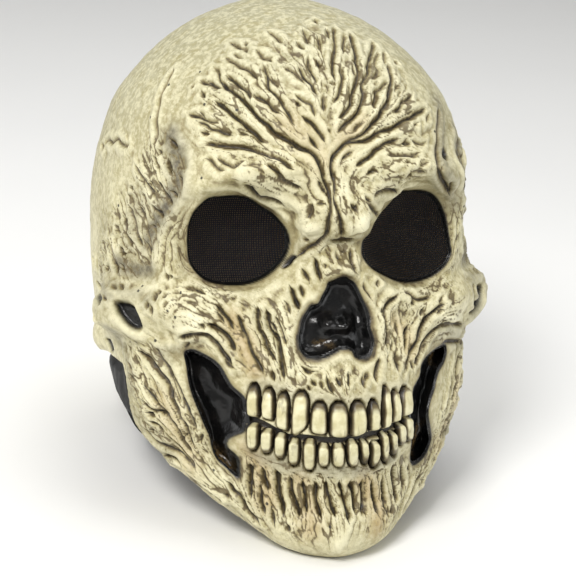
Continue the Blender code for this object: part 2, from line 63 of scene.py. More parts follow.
# Openings of the face, in proportion to the head, and the depths of the linings in them
EYE_WIDTH = 0.263 * HEAD_WIDTH
EYE_HEIGHT = 0.181 * HEAD_HEIGHT
HOLLOW_DEPTH = 11 * MM
NOSE_DEPTH = 9 * MM

# The neck's hem
HEM_BACK_HEIGHT = 34 * MM
HEM_SIDE_HEIGHT = 78 * MM
CHIN_FLAT = 1.6 * MM
HEM_FLAT_TURN = math.radians(34)
HEM_RISE_TURN = math.radians(50)
RAMUS_EDGE = math.radians(84)
FINE_EDGE = math.radians(98)
NECK_SECTIONS = 4.0

# Sections from the crown down to the rim under the jaw: heights at the midline and at the sides as shares of
# HEAD_HEIGHT, front, widest and back as shares of HEAD_DEPTH, half width as a share of HEAD_WIDTH, two powers.
SECTIONS = (
    (1.000, 1.000, 0.000, 0.000, 0.043, 0.000, 2.00, 2.00),
    (0.970, 0.970, 0.190, 0.178, 0.043, 0.155, 2.00, 2.00),
    (0.911, 0.911, 0.343, 0.315, 0.043, 0.290, 2.10, 2.00),
    (0.819, 0.819, 0.452, 0.427, 0.043, 0.415, 2.20, 2.10),
    (0.720, 0.720, 0.490, 0.475, 0.043, 0.491, 2.30, 2.20),
    (0.631, 0.631, 0.491, 0.495, 0.039, 0.517, 2.30, 2.30),
    (0.553, 0.553, 0.456, 0.500, 0.026, 0.517, 2.20, 2.40),
    (0.475, 0.475, 0.428, 0.500, 0.000, 0.509, 2.00, 2.60),
    (0.397, 0.397, 0.422, 0.493, -0.035, 0.500, 1.80, 2.80),
    (0.333, 0.348, 0.418, 0.483, -0.060, 0.487, 1.70, 2.80),
    (0.270, 0.301, 0.407, 0.472, -0.085, 0.468, 1.65, 2.60),
    (0.206, 0.266, 0.390, 0.468, -0.100, 0.454, 1.60, 2.40),
    (0.128, 0.234, 0.358, 0.462, -0.108, 0.442, 1.46, 2.30),
    (0.053, 0.206, 0.358, 0.445, -0.110, 0.424, 1.45, 2.20),
    (0.007, 0.177, 0.325, 0.413, -0.110, 0.403, 1.52, 2.20),
    (0.000, 0.163, 0.272, 0.370, -0.110, 0.386, 1.55, 2.20),
    (0.021, 0.177, 0.228, 0.335, -0.110, 0.368, 1.55, 2.20),
)
CRANIUM_END = 9.5
LAST_SECTION = len(SECTIONS) - 1
JAW_RISE = 1.2

# Bones and dents: name, centre and radii as shares, lean, push as a share of FORM_RELIEF, sharpness of the foot
BONES = (
    ("glabella", 0.00, -0.466, 0.624, 0.26, 0.13, 0.055, 0.00, 0.50, 2.0),
    ("brow", 0.45, -0.380, 0.690, 0.48, 0.19, 0.048, -0.12, 0.75, 2.0),
    ("nasion", 0.00, -0.440, 0.560, 0.15, 0.10, 0.034, 0.00, -0.50, 2.0),
    ("nasal_bone", 0.00, -0.431, 0.530, 0.13, 0.13, 0.046, 0.00, 0.50, 2.0),
    ("eye_rim", 0.46, -0.340, 0.578, 0.42, 0.24, 0.142, 0.00, 0.35, 4.0),
    ("cheekbone", 0.70, -0.267, 0.440, 0.31, 0.16, 0.060, 0.10, 0.90, 2.0),
    ("arch", 0.97, -0.125, 0.424, 0.33, 0.18, 0.090, 0.00, 1.40, 2.0),
    ("temple", 0.91, -0.181, 0.610, 0.31, 0.15, 0.121, 0.00, -0.60, 2.0),
    ("slot_under_arch", 0.93, -0.112, 0.372, 0.28, 0.10, 0.040, 0.00, -0.60, 2.0),
    ("nose_rim", 0.00, -0.431, 0.440, 0.32, 0.14, 0.110, 0.00, 0.30, 3.0),
    ("canine_fossa", 0.37, -0.380, 0.410, 0.17, 0.11, 0.055, 0.00, -0.55, 2.0),
    ("muzzle", 0.00, -0.410, 0.262, 0.54, 0.26, 0.100, 0.00, 0.65, 3.0),
    ("chin", 0.00, -0.410, 0.046, 0.48, 0.18, 0.060, 0.00, 0.60, 2.5),
    ("mastoid", 0.96, 0.138, 0.340, 0.20, 0.10, 0.055, 0.00, 0.60, 2.0),
)

# Where the openings are, as shares of half the width and of the height, and the floor of the eye sockets
EYE_PLACE = (0.46, 0.576)
EYE_LEAN = -0.10
SOCKET_FLOOR = -0.315
SOCKET_SLOPE = 0.27
SOCKET_RIM = 1.42
SOCKET_STEEPNESS = 3.2

# The camera, in the frame of the upright head
CAMERA_YAW = math.radians(17)
CAMERA_PITCH = math.radians(7)
CAMERA_DISTANCE = 1.1
CAMERA_AIM = (0.0, 0.0, 0.150)
AIM_PIXEL = (281, 240)
PIXEL = 0.545 * MM
PHOTO_SIZE = 576

# Grid of the skin: spacing of its points over the face, the dome and the back
FACE_STEP = 0.64 * MM
DOME_STEP = 1.1 * MM
BACK_STEP = 2.6 * MM
DOME_END = 2.6


# The head's form, as in the solids
def catmull_rom(before, start, end, after, share):
    """Point on the smooth curve from start to end, between the knots before and after them."""
    return 0.5 * (
        2 * start
        + (end - before) * share
        + (2 * before - 5 * start + 4 * end - after) * share**2
        + (3 * start - before - 3 * end + after) * share**3
    )


def section_knots():
    """The section table in metres, mirrored above the crown and carried on below the last row."""
    unit = (HEAD_HEIGHT, HEAD_HEIGHT, HEAD_DEPTH, HEAD_WIDTH, HEAD_DEPTH, HEAD_DEPTH, 1, 1)
    knots = np.array(SECTIONS) * np.array(unit)
    above = knots[1] * np.array((1, 1, -1, -1, 1, -1, 1, 1))
    return np.vstack((above, knots, 2 * knots[-1] - knots[-2]))


SECTION_KNOTS = section_knots()


def section_at(level):
    """Section values at a level: 0 is the crown, and each row of the table is one further."""
    row = np.clip(np.floor(level).astype(int), 0, LAST_SECTION - 1)
    share = (level - row)[..., None]
    return catmull_rom(*(SECTION_KNOTS[row + step] for step in range(4)), share)


def body_point(turn, level):
    """Point of the plain head without bones: turn is 0 at the face and grows towards +X."""
    turn, level = np.broadcast_arrays(turn, level)
    mid_height, side_height, front, half_width, widest, back, front_power, back_power = np.moveaxis(
        section_at(level), -1, 0
    )
    side, ahead = np.sin(turn), np.cos(turn)
    in_front = ahead >= 0
    power = 2 / np.where(in_front, front_power, back_power)
    x = half_width * np.sign(side) * np.abs(side) ** power
    y = widest - np.where(in_front, front, back) * np.sign(ahead) * np.abs(ahead) ** power
    rise = np.where(in_front, (side * side) ** JAW_RISE, 1.0)
    return np.stack((x, y, mid_height + (side_height - mid_height) * rise), -1)


def unit_vectors(vectors):
    """Vectors of length 1."""
    return vectors / np.maximum(np.linalg.norm(vectors, axis=-1, keepdims=True), 1e-12)


def body_normal(turn, level):
    """Outward normal of the plain head."""
    turn, level = np.broadcast_arrays(turn, level)
    step = 0.02
    along_turn = body_point(turn + step, level) - body_point(turn - step, level)
    along_level = body_point(turn, level + step) - body_point(turn, np.maximum(level - step, 0.0))
    normal = unit_vectors(np.cross(along_level, along_turn))
    return np.where((level < step)[..., None], (0.0, 0.0, 1.0), normal)


def falloff(distance, sharpness):
    """1 at the centre of a form and 0 from its edge outward."""
    return np.clip(1 - np.clip(distance, 0, 1) ** sharpness, 0, 1) ** 2


def smooth_step(value):
    """0 below 0, 1 above 1, and smooth in between."""
    value = np.clip(value, 0, 1)
    return value * value * (3 - 2 * value)


def bone_relief(points):
    """How far the bones and dents push the head out at its points."""
    push = np.zeros(points.shape[:-1])
    from_midline = np.abs(points[..., 0])
    for _, x, y, z, wide, deep, tall, lean, height, sharpness in BONES:
        across = from_midline - x * HEAD_WIDTH / 2
        along = points[..., 1] - y * HEAD_DEPTH
        up = points[..., 2] - z * HEAD_HEIGHT - lean * across
        distance = np.sqrt(
            (across / (wide * HEAD_WIDTH / 2)) ** 2 + (along / (deep * HEAD_DEPTH)) ** 2 + (up / (tall * HEAD_HEIGHT)) ** 2
        )
        push += height * FORM_RELIEF * falloff(distance, sharpness)
    return push


def sunk_sockets(points):
    """The points with the eye sockets pressed in to their floors."""
    across = np.abs(points[..., 0]) - EYE_PLACE[0] * HEAD_WIDTH / 2
    up = points[..., 2] - EYE_PLACE[1] * HEAD_HEIGHT - EYE_LEAN * across
    distance = np.hypot(across / (EYE_WIDTH / 2), up / (EYE_HEIGHT / 2)) / SOCKET_RIM
    floor = SOCKET_FLOOR * HEAD_DEPTH + SOCKET_SLOPE * across
    depth = np.where(points[..., 1] < 0, np.maximum(floor - points[..., 1], 0), 0)
    sunk = points.copy()
    sunk[..., 1] += falloff(distance, SOCKET_STEEPNESS) * depth
    return sunk


def skin_point(turn, level, depth=0.0):
    """Point of the skin's outer face, or of a face that lies depth inside it."""
    body = body_point(turn, level)
    normal = body_normal(turn, level)
    return sunk_sockets(body + normal * bone_relief(body)[..., None]) - normal * depth


def neck_point(turn, level):
    """Point of the neck's outer face, which passes just inside the skin's edges."""
    return body_point(turn, level) - body_normal(turn, level) * (SKIN_WALL + 2 * SEAT_GAP)


def rest_line():
    """Height at y = 0 and slope of the floor under the upright head, which touches its chin and hem."""
    chin_y = (SECTIONS[-2][4] - SECTIONS[-2][2]) * HEAD_DEPTH
    hem_y = neck_point(np.array(math.pi), np.array(CRANIUM_END + NECK_SECTIONS))[1]
    slope = (HEM_BACK_HEIGHT - CHIN_FLAT) / (hem_y - chin_y)
    return CHIN_FLAT - slope * chin_y, slope


FLOOR_AT_MIDDLE, FLOOR_SLOPE = rest_line()


def floor_height(y):
    """Height of the floor at a depth y of the upright head."""
    return FLOOR_AT_MIDDLE + FLOOR_SLOPE * y


def closed_curve(points, count):
    """Smooth closed curve through a few points, as count points spaced evenly by length."""
    knots = np.array(points, dtype=float)
    fine = []
    for index in range(len(knots)):
        four = [knots[(index + step) % len(knots)] for step in (-1, 0, 1, 2)]
        fine.extend(catmull_rom(*four, share) for share in np.arange(0, 1, 0.05))
    fine.append(fine[0])
    fine = np.array(fine)
    travelled = np.concatenate(([0], np.cumsum(np.linalg.norm(np.diff(fine, axis=0), axis=1))))
    stops = np.linspace(0, travelled[-1], count, endpoint=False)
    return np.stack([np.interp(stops, travelled, fine[:, axis]) for axis in (0, 1)], -1)


# Camera and lines of sight, in the frame of the upright head
def camera_axes():
    """Place of the camera, and its right, up and back."""
    back = np.array(
        (
            -math.sin(CAMERA_YAW) * math.cos(CAMERA_PITCH),
            -math.cos(CAMERA_YAW) * math.cos(CAMERA_PITCH),
            math.sin(CAMERA_PITCH),
        )
    )
    right = np.array((math.cos(CAMERA_YAW), -math.sin(CAMERA_YAW), 0.0))
    up = np.cross(back, right)
    place = np.array(CAMERA_AIM) + back * CAMERA_DISTANCE
    across, down = (PHOTO_SIZE / 2 - AIM_PIXEL[0]) * PIXEL, (PHOTO_SIZE / 2 - AIM_PIXEL[1]) * PIXEL
    back = unit_vectors(back * CAMERA_DISTANCE - right * across + up * down)
    right = unit_vectors(np.cross((0, 0, 1), back))
    return place, right, np.cross(back, right), back


VIEW_POINT, VIEW_RIGHT, VIEW_UP, VIEW_BACK = camera_axes()
FOCAL = CAMERA_DISTANCE / PIXEL


def pixel_of(points):
    """Where points of the head show in the photograph, as pixels."""
    away = points - VIEW_POINT
    scale = FOCAL / -(away @ VIEW_BACK)
    middle = PHOTO_SIZE / 2
    return np.stack((middle + (away @ VIEW_RIGHT) * scale, middle - (away @ VIEW_UP) * scale), -1)


def ray_through(pixel):
    """Direction from the camera through a pixel."""
    across, down = pixel[0] - PHOTO_SIZE / 2, pixel[1] - PHOTO_SIZE / 2
    return -VIEW_BACK * FOCAL + VIEW_RIGHT * across - VIEW_UP * down


# Grid of the skin
def spaced(length_at, low, high, step_at):
    """Values from low to high whose spacing along a curve follows step_at."""
    fine = np.linspace(low, high, 4000)
    points = length_at(fine)
    pace = np.linalg.norm(np.diff(points, axis=0), axis=1) / step_at(0.5 * (fine[1:] + fine[:-1]))
    count = np.concatenate(([0], np.cumsum(pace)))
    return np.interp(np.linspace(0, count[-1], int(round(count[-1])) + 1), count, fine)


MIDDLE_LEVEL = np.array(6.0)
face_turns = spaced(
    lambda turn: body_point(turn, MIDDLE_LEVEL), -FINE_EDGE, FINE_EDGE, lambda turn: np.full_like(turn, FACE_STEP)
)
back_turns = spaced(
    lambda turn: body_point(turn, MIDDLE_LEVEL),
    FINE_EDGE,
    2 * math.pi - FINE_EDGE,
    lambda turn: np.full_like(turn, BACK_STEP),
)[1:-1]
turns = np.concatenate((face_turns, back_turns))
SIDE_TURN = np.array(math.radians(55))
cranium_levels = spaced(
    lambda level: body_point(SIDE_TURN, level),
    0.0,
    CRANIUM_END,
    lambda level: DOME_STEP + (FACE_STEP - DOME_STEP) * smooth_step(level - DOME_END + 0.5),
)
jaw_levels = spaced(
    lambda level: body_point(np.array(0.3), level), CRANIUM_END, LAST_SECTION, lambda level: np.full_like(level, FACE_STEP)
)
levels = np.concatenate((cranium_levels, jaw_levels[1:]))
TURN, LEVEL = np.meshgrid(turns, levels)
ROWS, COLUMNS = TURN.shape
FACE_COLUMNS = len(face_turns)
JAW_FIRST = int(np.argmin(np.abs(face_turns + RAMUS_EDGE)))
JAW_LAST = int(np.argmin(np.abs(face_turns - RAMUS_EDGE)))
CRANIUM_ROWS = len(cranium_levels)
smooth_skin = skin_point(TURN, LEVEL)


def grid_normals(points):
    """Outward normals of a grid that closes around the head."""
    across = np.roll(points, -1, axis=1) - np.roll(points, 1, axis=1)
    down = np.gradient(points, axis=0)
    normal = unit_vectors(np.cross(down, across))
    normal[0] = (0, 0, 1)
    return normal


smooth_normal = grid_normals(smooth_skin)


def grid_quads(rows, columns, close=False):
    """Corner indices of a grid's quads, facing out."""
    last = columns if close else columns - 1
    row, column = np.meshgrid(np.arange(rows - 1), np.arange(last), indexing="ij")
    after = (column + 1) % columns
    corners = (row * columns + column, (row + 1) * columns + column, (row + 1) * columns + after, row * columns + after)
    return np.stack([corner.ravel() for corner in corners], -1)


def sight_tree():
    """Tree of the smooth skin for lines of sight."""
    rows = np.arange(0, ROWS, 3)
    columns = np.arange(0, FACE_COLUMNS, 3)
    points = smooth_skin[np.ix_(rows, columns)]
    quads = grid_quads(len(rows), len(columns))
    return BVHTree.FromPolygons(points.reshape(-1, 3).tolist(), quads.tolist())


SKIN_TREE = sight_tree()
SIGHT_START = Vector(VIEW_POINT)


def seen_at(pixels):
    """Points of the smooth skin that show at the pixels. Pixels off the head are left out."""
    found = []
    for pixel in pixels:
        hit = SKIN_TREE.ray_cast(SIGHT_START, Vector(ray_through(pixel)))[0]
        if hit is not None:
            found.append(tuple(hit))
    return np.array(found).reshape(-1, 3)


def open_curve(points, step=1.0):
    """Smooth open curve through a few points, with a point about every step."""
    knots = np.array(points, dtype=float)
    knots = np.vstack((2 * knots[0] - knots[1], knots, 2 * knots[-1] - knots[-2]))
    curve = []
    for index in range(1, len(knots) - 2):
        count = max(int(np.linalg.norm(knots[index + 1] - knots[index]) / step), 1)
        for share in np.arange(count) / count:
            curve.append(catmull_rom(*knots[index - 1 : index + 3], share))
    curve.append(knots[-2])
    return np.array(curve)


# Grooves of the sculpture: half width and depth in mm, then the points that they run through, as pixels
GROOVES = (
    # forehead, image left
    ("fan_main", 0.8, 1.6, "218,80 223,83 227,88 232,91 240,97 245,103 250,107 255,114 262,121 269,126 274,132 281,137"
     " 291,142 300,148 311,152 318,160 322,171 324,180 328,190 330,199 331,208 329,221 327,233 323,238 316,244 308,247"
     " 302,252 294,260"),
    ("fan_a", 0.6, 1.0, "226,42 233,44 240,48 245,49 247,53 249,57"),
    ("fan_a_tip", 0.5, 0.8, "246,41 246,48"),
    ("fan_b", 0.5, 0.8, "231,52 238,57 242,59 247,62"),
    ("fan_c", 0.6, 0.9, "223,57 230,61 236,64 241,68 247,70 252,74 257,79 260,85"),
    ("fan_d", 0.5, 0.8, "253,48 258,52 263,58 269,60 273,64 276,67"),
    ("fan_e", 0.5, 0.7, "260,62 264,66 266,73 269,78 273,82 278,87 281,92"),
    ("fan_f", 0.7, 1.1, "266,72 268,81 269,89 274,94 280,100 283,107 288,114 291,120 294,126 299,130"),
    ("fan_g", 0.5, 0.7, "211,66 218,71 220,80 224,87 229,92 233,97"),
    ("fan_h", 0.7, 1.2, "223,74 229,78 235,82 241,87 247,92 250,98 251,106"),
    ("fan_i", 0.6, 1.0, "205,79 211,83 217,87 224,89 228,89"),
    ("fan_j", 0.6, 0.9, "198,79 204,83 210,85 214,88"),
    ("fan_j_tip", 0.6, 0.8, "191,87 196,88"),
    ("fan_k", 0.7, 1.3, "212,100 218,103 223,107 228,111 234,117 242,123 248,129 254,133 258,137 262,142 270,145"),
    ("fan_l", 0.5, 0.7, "201,89 203,94 207,101"),
    ("fan_m", 0.5, 0.8, "221,103 227,107"),
    ("fan_n", 0.6, 1.0, "251,91 255,96 264,100 269,104 273,110 280,114 285,120"),
    ("fan_o", 0.7, 1.2, "295,63 300,70 304,78 311,85 314,92 319,100"),
    ("fan_p", 0.5, 0.8, "280,64 287,69 293,72 300,78 303,83 305,89"),
    ("fan_q", 0.6, 0.9, "308,54 308,65 311,73 315,80 318,90"),
    ("fan_r", 0.5, 0.7, "293,40 301,48 308,55"),
    ("fan_s", 0.6, 1.0, "313,59 318,63 320,71"),
    ("fan_t", 0.5, 0.5, "301,28 304,34 307,41 308,49"),
    ("fan_u", 0.5, 0.7, "314,18 316,23 319,28"),
    ("fan_v", 0.5, 0.6, "323,27 328,33 329,41 330,44"),
    ("fan_w", 0.5, 0.5, "313,34 318,39 319,48 321,57"),
    ("fan_x", 0.6, 1.0, "334,26 334,37 335,48 333,62 333,71 335,80 337,84"),
    ("fan_y", 0.6, 0.9, "324,90 323,100 323,109 325,118"),
    ("fan_z", 0.5, 0.8, "293,101 298,104 299,110"),
    ("fan_aa", 0.7, 1.2, "299,112 304,118 311,123 317,130 322,137 325,144 327,149"),
    ("fan_ab", 0.5, 0.8, "290,92 295,95 303,101 311,105 313,111 315,118 317,122"),
    ("fan_ac", 0.7, 1.1, "305,131 311,140 317,148 322,154"),
    ("fan_ad", 0.6, 0.9, "185,112 193,116 200,117 205,120 212,122 218,123 223,129"),
    ("fan_ae", 0.7, 1.1, "194,120 202,123 207,125 211,129 218,130 223,133 230,135 238,138"),
    ("fan_af", 0.6, 0.9, "199,131 204,133 210,134 213,130"),
    ("fan_ag", 0.5, 0.7, "236,132 243,134 251,135"),
    ("fan_ah", 0.7, 1.1, "201,144 210,144 221,146 233,147 243,148 253,150 262,153 271,157 278,159 284,162 289,167 294,170"
     " 299,171"),
    ("fan_ai", 0.5, 0.6, "198,110 203,115 208,121"),
    ("fan_aj", 0.5, 0.5, "263,31 271,34 277,39 281,44 285,48"),
    ("fan_ak", 0.5, 0.6, "327,133 331,130"),
    # forehead, image right
    ("ray_a", 0.5, 0.7, "332,80 332,88"),
    ("ray_b", 0.6, 0.9, "346,34 344,41 343,48 343,57"),
    ("ray_c", 0.7, 1.3, "349,32 352,41 354,48 356,55 356,62 358,69 358,77 356,84 353,91 351,98 350,105 346,111 341,117"
     " 335,120 334,123"),
    ("ray_d", 0.5, 0.6, "346,41 348,49 349,55"),
    ("ray_e", 0.5, 0.8, "353,62 353,69 354,77 353,82"),
    ("ray_f", 0.6, 1.0, "340,63 340,72 342,79 340,89 338,97 334,102 332,109"),
    ("ray_g", 0.5, 0.7, "349,81 349,89 350,98"),
    ("ray_h", 0.7, 1.3, "371,40 373,47 370,58 368,67 368,73 364,79 362,84 363,94 361,102 359,109 356,115 351,120 344,125"
     " 340,130 334,138"),
    ("ray_i", 0.5, 0.7, "366,63 367,71"),
    ("ray_j", 0.6, 0.9, "380,51 376,58 375,65 378,72 373,78 369,82"),
    ("ray_k", 0.6, 0.9, "383,50 384,59 384,65 383,68"),
    ("ray_l", 0.8, 1.4, "387,61 389,69 391,77 391,84 389,91 388,100 384,107 381,112 379,118 373,123 368,129 363,134"
     " 356,138 350,140 343,146 338,151 333,157 331,167 332,174 334,181 334,192 334,202 338,212 341,222 342,233 341,239"),
    ("ray_m", 0.6, 1.0, "391,81 385,84 380,89 376,92 375,100 373,108 370,113"),
    ("ray_n", 0.5, 0.8, "378,80 375,84 371,88"),
    ("ray_o", 0.5, 0.7, "397,61 394,67"),
    ("ray_p", 0.5, 0.6, "399,83 395,90 391,97"),
    ("ray_q", 0.5, 0.6, "402,88 399,94 394,100"),
    ("ray_r", 0.6, 1.0, "413,94 408,99 402,102 399,109 394,113 389,114"),
    ("ray_r_tip", 0.5, 0.7, "407,100 406,107"),
    ("ray_s", 0.5, 0.8, "415,107 411,112 405,115 402,115"),
    ("ray_t", 0.8, 1.4, "426,106 422,111 417,113 411,118 405,120 400,123 393,128 387,130 379,132 372,137 364,141 353,142"
     " 344,144 338,149"),
    ("ray_u", 0.5, 0.5, "429,110 427,118 423,127"),
    ("ray_v", 0.5, 0.5, "419,121 414,125 408,123"),
    ("ray_w", 0.5, 0.6, "427,138 423,144 418,144 412,141 406,138"),
    ("ray_x", 0.8, 1.4, "402,138 392,141 385,143 380,147 375,150 372,154 368,158 363,161 359,164 355,168 352,172"),
    ("ray_y", 0.6, 0.9, "397,143 402,144 409,144 414,144"),
    ("ray_z", 0.5, 0.6, "364,120 359,125 352,132 347,137"),
    ("ray_aa", 0.6, 0.9, "382,159 388,156 395,156 404,156 411,156 416,154 422,154"),
    ("ray_ab", 0.5, 0.8, "406,160 409,165"),
    ("ray_ac", 0.5, 0.8, "413,169 419,166 424,164 430,160"),
    ("ray_ad", 0.6, 0.9, "401,183 408,176 411,172 416,171 423,172 430,173"),
    ("ray_ae", 0.8, 1.4, "371,201 375,195 380,192 385,190 392,190 398,192"),
    ("ray_af", 0.7, 1.0, "363,176 368,174 371,172 376,171 379,175"),
    ("ray_ag", 0.9, 1.2, "347,201 351,205 355,208 357,200"),
    ("ray_ah", 0.6, 0.9, "362,193 367,199 372,203"),
    ("ray_ai", 0.7, 1.0, "362,199 369,205 375,212 379,216"),
    ("ray_aj", 0.6, 0.8, "339,167 341,161 346,156 353,151 358,148"),
    # brow and glabella
    ("crease_second", 0.7, 1.2, "313,176 318,181 322,188 326,194 329,201"),
    ("nasion_line", 0.8, 1.2, "327,239 333,240 342,239 351,238 360,237"),
    ("brow_a", 0.7, 1.2, "261,162 269,165 277,172 282,179 289,183 296,186 301,187 304,192"),
    ("brow_c", 0.6, 0.9, "213,156 220,160 227,164 234,167 240,164 250,160"),
    ("brow_d", 0.5, 0.7, "202,159 210,160 216,166 221,170 228,171 231,169"),
    ("brow_edge", 0.8, 1.3, "240,181 248,184 253,190 260,196 269,197 278,199 283,202 289,208"),
    ("roll_curl", 0.7, 1.2, "311,197 313,202 312,210 310,216 305,219"),
    ("roll_link", 0.6, 0.9, "314,202 320,204 328,203"),
    ("roll_under", 0.6, 0.9, "302,239 307,240 312,239"),
    ("bridge_a", 0.6, 1.0, "311,255 316,261 318,268 320,274"),
    ("bridge_b", 0.5, 0.7, "325,262 326,270"),
    ("bridge_c", 0.5, 0.8, "334,250 338,258 340,264"),
    ("bridge_d", 0.5, 0.8, "343,247 343,256"),
    ("bridge_e", 0.6, 0.9, "352,243 351,250 351,258 353,268 358,277"),
    # temple, image left
    ("temple_a", 0.7, 1.2, "169,135 173,142 179,149 181,154"),
    ("temple_b", 0.6, 1.0, "159,147 162,154 163,160"),
    ("temple_c", 0.6, 1.1, "153,152 157,161 161,169 165,179"),
    ("temple_d", 0.8, 1.5, "153,164 157,174 159,182 164,189 169,197 175,205 177,209"),
    ("temple_e", 0.7, 1.1, "169,155 170,164 172,171 174,178"),
    ("temple_f", 0.6, 1.0, "148,174 151,182 158,192 164,199"),
    ("temple_g", 0.6, 1.0, "135,159 138,169 143,177 149,185 154,193 160,199"),
    ("temple_h", 0.7, 1.1, "171,188 177,194 181,201"),
    ("temple_i", 0.6, 1.0, "178,172 182,180 184,188 186,194"),
    ("temple_j", 0.8, 1.4, "151,201 157,209 163,214 169,219"),
    ("temple_k", 0.7, 1.2, "139,200 142,209 147,219 148,228 151,240 152,250 154,261"),
    ("temple_l", 0.7, 1.2, "129,201 133,212 137,222 139,232 142,241 147,250"),
    ("temple_m", 0.6, 1.0, "123,212 128,225 129,234 133,243 138,248"),
    ("temple_n", 0.6, 1.0, "158,221 163,228"),
    ("temple_o", 0.7, 1.1, "151,222 157,230 160,237"),
    ("temple_p", 0.7, 1.1, "146,237 151,250 154,259"),
    ("temple_q", 0.5, 0.7, "115,223 120,230 123,234"),
    ("temple_r", 0.8, 1.4, "108,235 112,247 114,258 118,268 121,277"),
    ("temple_s", 0.8, 1.2, "121,243 124,252 129,253"),
    ("temple_t", 0.7, 1.2, "122,261 127,274"),
    ("temple_u", 0.6, 1.0, "104,239 107,248"),
    ("temple_v", 0.6, 1.0, "102,247 104,253"),
    ("temple_w", 0.6, 1.0, "100,258 103,269 105,274"),
    ("temple_x", 0.6, 1.0, "107,263 111,273"),
    ("temple_y", 0.5, 0.8, "93,252 98,271"),
    ("temple_z", 0.6, 0.9, "131,184 135,192"),
    ("temple_aa", 0.6, 1.0, "142,190 147,199 149,208"),
    ("suture", 0.4, 0.7, "102,143 105,148 107,142 110,140 113,143 118,139 121,143 124,145 129,146 131,141 131,138"),
    ("crack", 0.35, 0.5, "177,64 173,72 170,78 165,88 161,96 160,105 158,113 157,122 158,132 157,140 158,150"),
    # temple, image right
    ("side_a", 1.0, 1.4, "436,104 438,111 438,122 437,130 437,141 437,155 439,169 441,178 445,185 450,196"),
    ("side_b", 0.7, 1.0, "443,164 441,174"),
    ("side_c", 0.6, 0.8, "451,177 450,188 449,195"),
    # cheekbone and arch, image left
    ("arch_a", 0.6, 0.9, "100,295 105,298 111,304"),
    ("arch_b", 0.5, 0.8, "111,282 115,288 121,293"),
    ("arch_c", 0.5, 0.7, "119,282 123,289 126,294"),
    ("cheek_a", 0.9, 1.5, "177,337 183,336 191,334 200,333 208,334 213,339 219,345 223,352 229,360 235,369"),
    ("cheek_b", 0.6, 1.0, "197,323 202,325 207,330"),
    ("cheek_c", 0.9, 1.6, "203,321 209,324 217,328 223,332 230,339 234,347 238,357"),
    ("cheek_d", 0.8, 1.4, "211,302 218,307 223,313 229,320 233,328 237,334"),
    ("cheek_e", 0.6, 1.0, "212,309 219,314 224,322 229,328"),
    ("cheek_f", 0.5, 0.7, "180,288 187,289 197,290 204,294 210,300"),
    ("cheek_g", 0.35, 0.4, "229,303 239,295"),
    ("cheek_h", 0.6, 0.9, "148,299 147,312"),
    ("cheek_i", 0.6, 0.9, "151,302 152,312 154,318"),
    ("cheek_j", 0.6, 0.9, "158,288 156,296 156,306"),
    ("cheek_k", 0.5, 0.7, "162,288 158,297"),
    ("cheek_l", 0.6, 0.9, "167,270 168,276 170,283"),
    ("cheek_m", 0.5, 0.8, "171,273 172,280"),
    ("cheek_n", 0.6, 0.9, "181,349 187,345 193,338"),
    ("cheek_o", 0.5, 0.7, "162,300 165,296 169,293"),
    ("cheek_p", 0.5, 0.6, "163,311 166,304 172,301"),
    # upper jaw, image left
    ("maxilla_a", 0.8, 1.3, "234,309 239,317 243,327 248,338 251,348 255,357 261,367 264,375 262,380"),
    ("maxilla_b", 0.7, 1.2, "252,302 258,311 258,318 260,329 265,338 269,349 275,358 280,367"),
    ("maxilla_c", 0.8, 1.5, "265,305 268,315 269,324 272,331 278,338 280,349 282,363 284,375 286,385"),
    ("maxilla_d", 0.6, 1.0, "273,310 278,321 282,329 285,339 288,347 290,352"),
    ("maxilla_e", 0.6, 0.9, "281,297 287,304 290,312 293,319"),
    ("maxilla_f", 0.9, 1.6, "288,282 292,290 295,299 299,308 298,317"),
    ("maxilla_g", 0.7, 1.0, "299,280 302,292 305,302"),
    ("maxilla_h", 0.7, 1.1, "300,264 304,272 309,280 309,287"),
    ("maxilla_i", 0.8, 1.3, "314,258 317,269 320,278 318,285"),
    ("maxilla_j", 0.6, 0.9, "272,367 274,377 275,385"),
    ("maxilla_k", 0.8, 1.2, "264,318 270,322 276,330 279,338"),
    ("maxilla_l", 0.6, 0.9, "222,354 228,364 234,368 240,370"),
    ("spine_a", 0.7, 1.0, "300,365 307,371 311,372 318,371"),
    ("spine_b", 0.6, 1.0, "307,384 311,393"),
    ("spine_c", 0.6, 1.0, "310,378 314,384 319,388"),
    ("spine_d", 0.5, 0.9, "320,378 323,392"),
    ("spine_e", 0.7, 1.2, "325,371 328,382 332,392 338,399"),
    ("spine_f", 0.6, 1.1, "333,374 339,383 342,392"),
    ("spine_g", 0.6, 0.8, "347,371 348,382"),
    # upper jaw, image right
    ("maxilla_m", 0.6, 0.9, "363,277 364,288 369,297 372,307"),
    ("maxilla_n", 0.6, 0.9, "377,277 377,290"),
    ("maxilla_o", 0.7, 1.2, "400,293 393,299 388,303 384,309 385,321 386,331 385,342 386,354"),
    ("maxilla_p", 0.6, 0.9, "381,304 381,318"),
    ("maxilla_q", 0.6, 1.0, "401,285 403,292 409,294 415,299 424,299 434,296"),
    ("maxilla_r", 0.8, 1.2, "411,295 413,304 416,305"),
    ("maxilla_s", 0.8, 1.3, "410,321 405,331 404,342 403,354"),
    ("maxilla_t", 0.6, 0.9, "424,304 421,312 420,320"),
    ("maxilla_u", 0.9, 1.6, "448,302 440,306 433,311 428,316 423,323 420,331 418,340 413,348 409,355 406,365 406,376"),
    ("maxilla_v", 0.7, 1.2, "446,309 440,310 436,313 431,314"),
    ("maxilla_w", 0.6, 0.9, "444,292 440,301 434,308"),
    ("maxilla_x", 0.7, 1.2, "449,318 443,320 439,324 433,329 428,335 423,342 420,349 418,355 415,362 413,371"),
    ("maxilla_y", 0.7, 1.2, "463,322 458,324 450,323 442,324 436,328 432,331"),
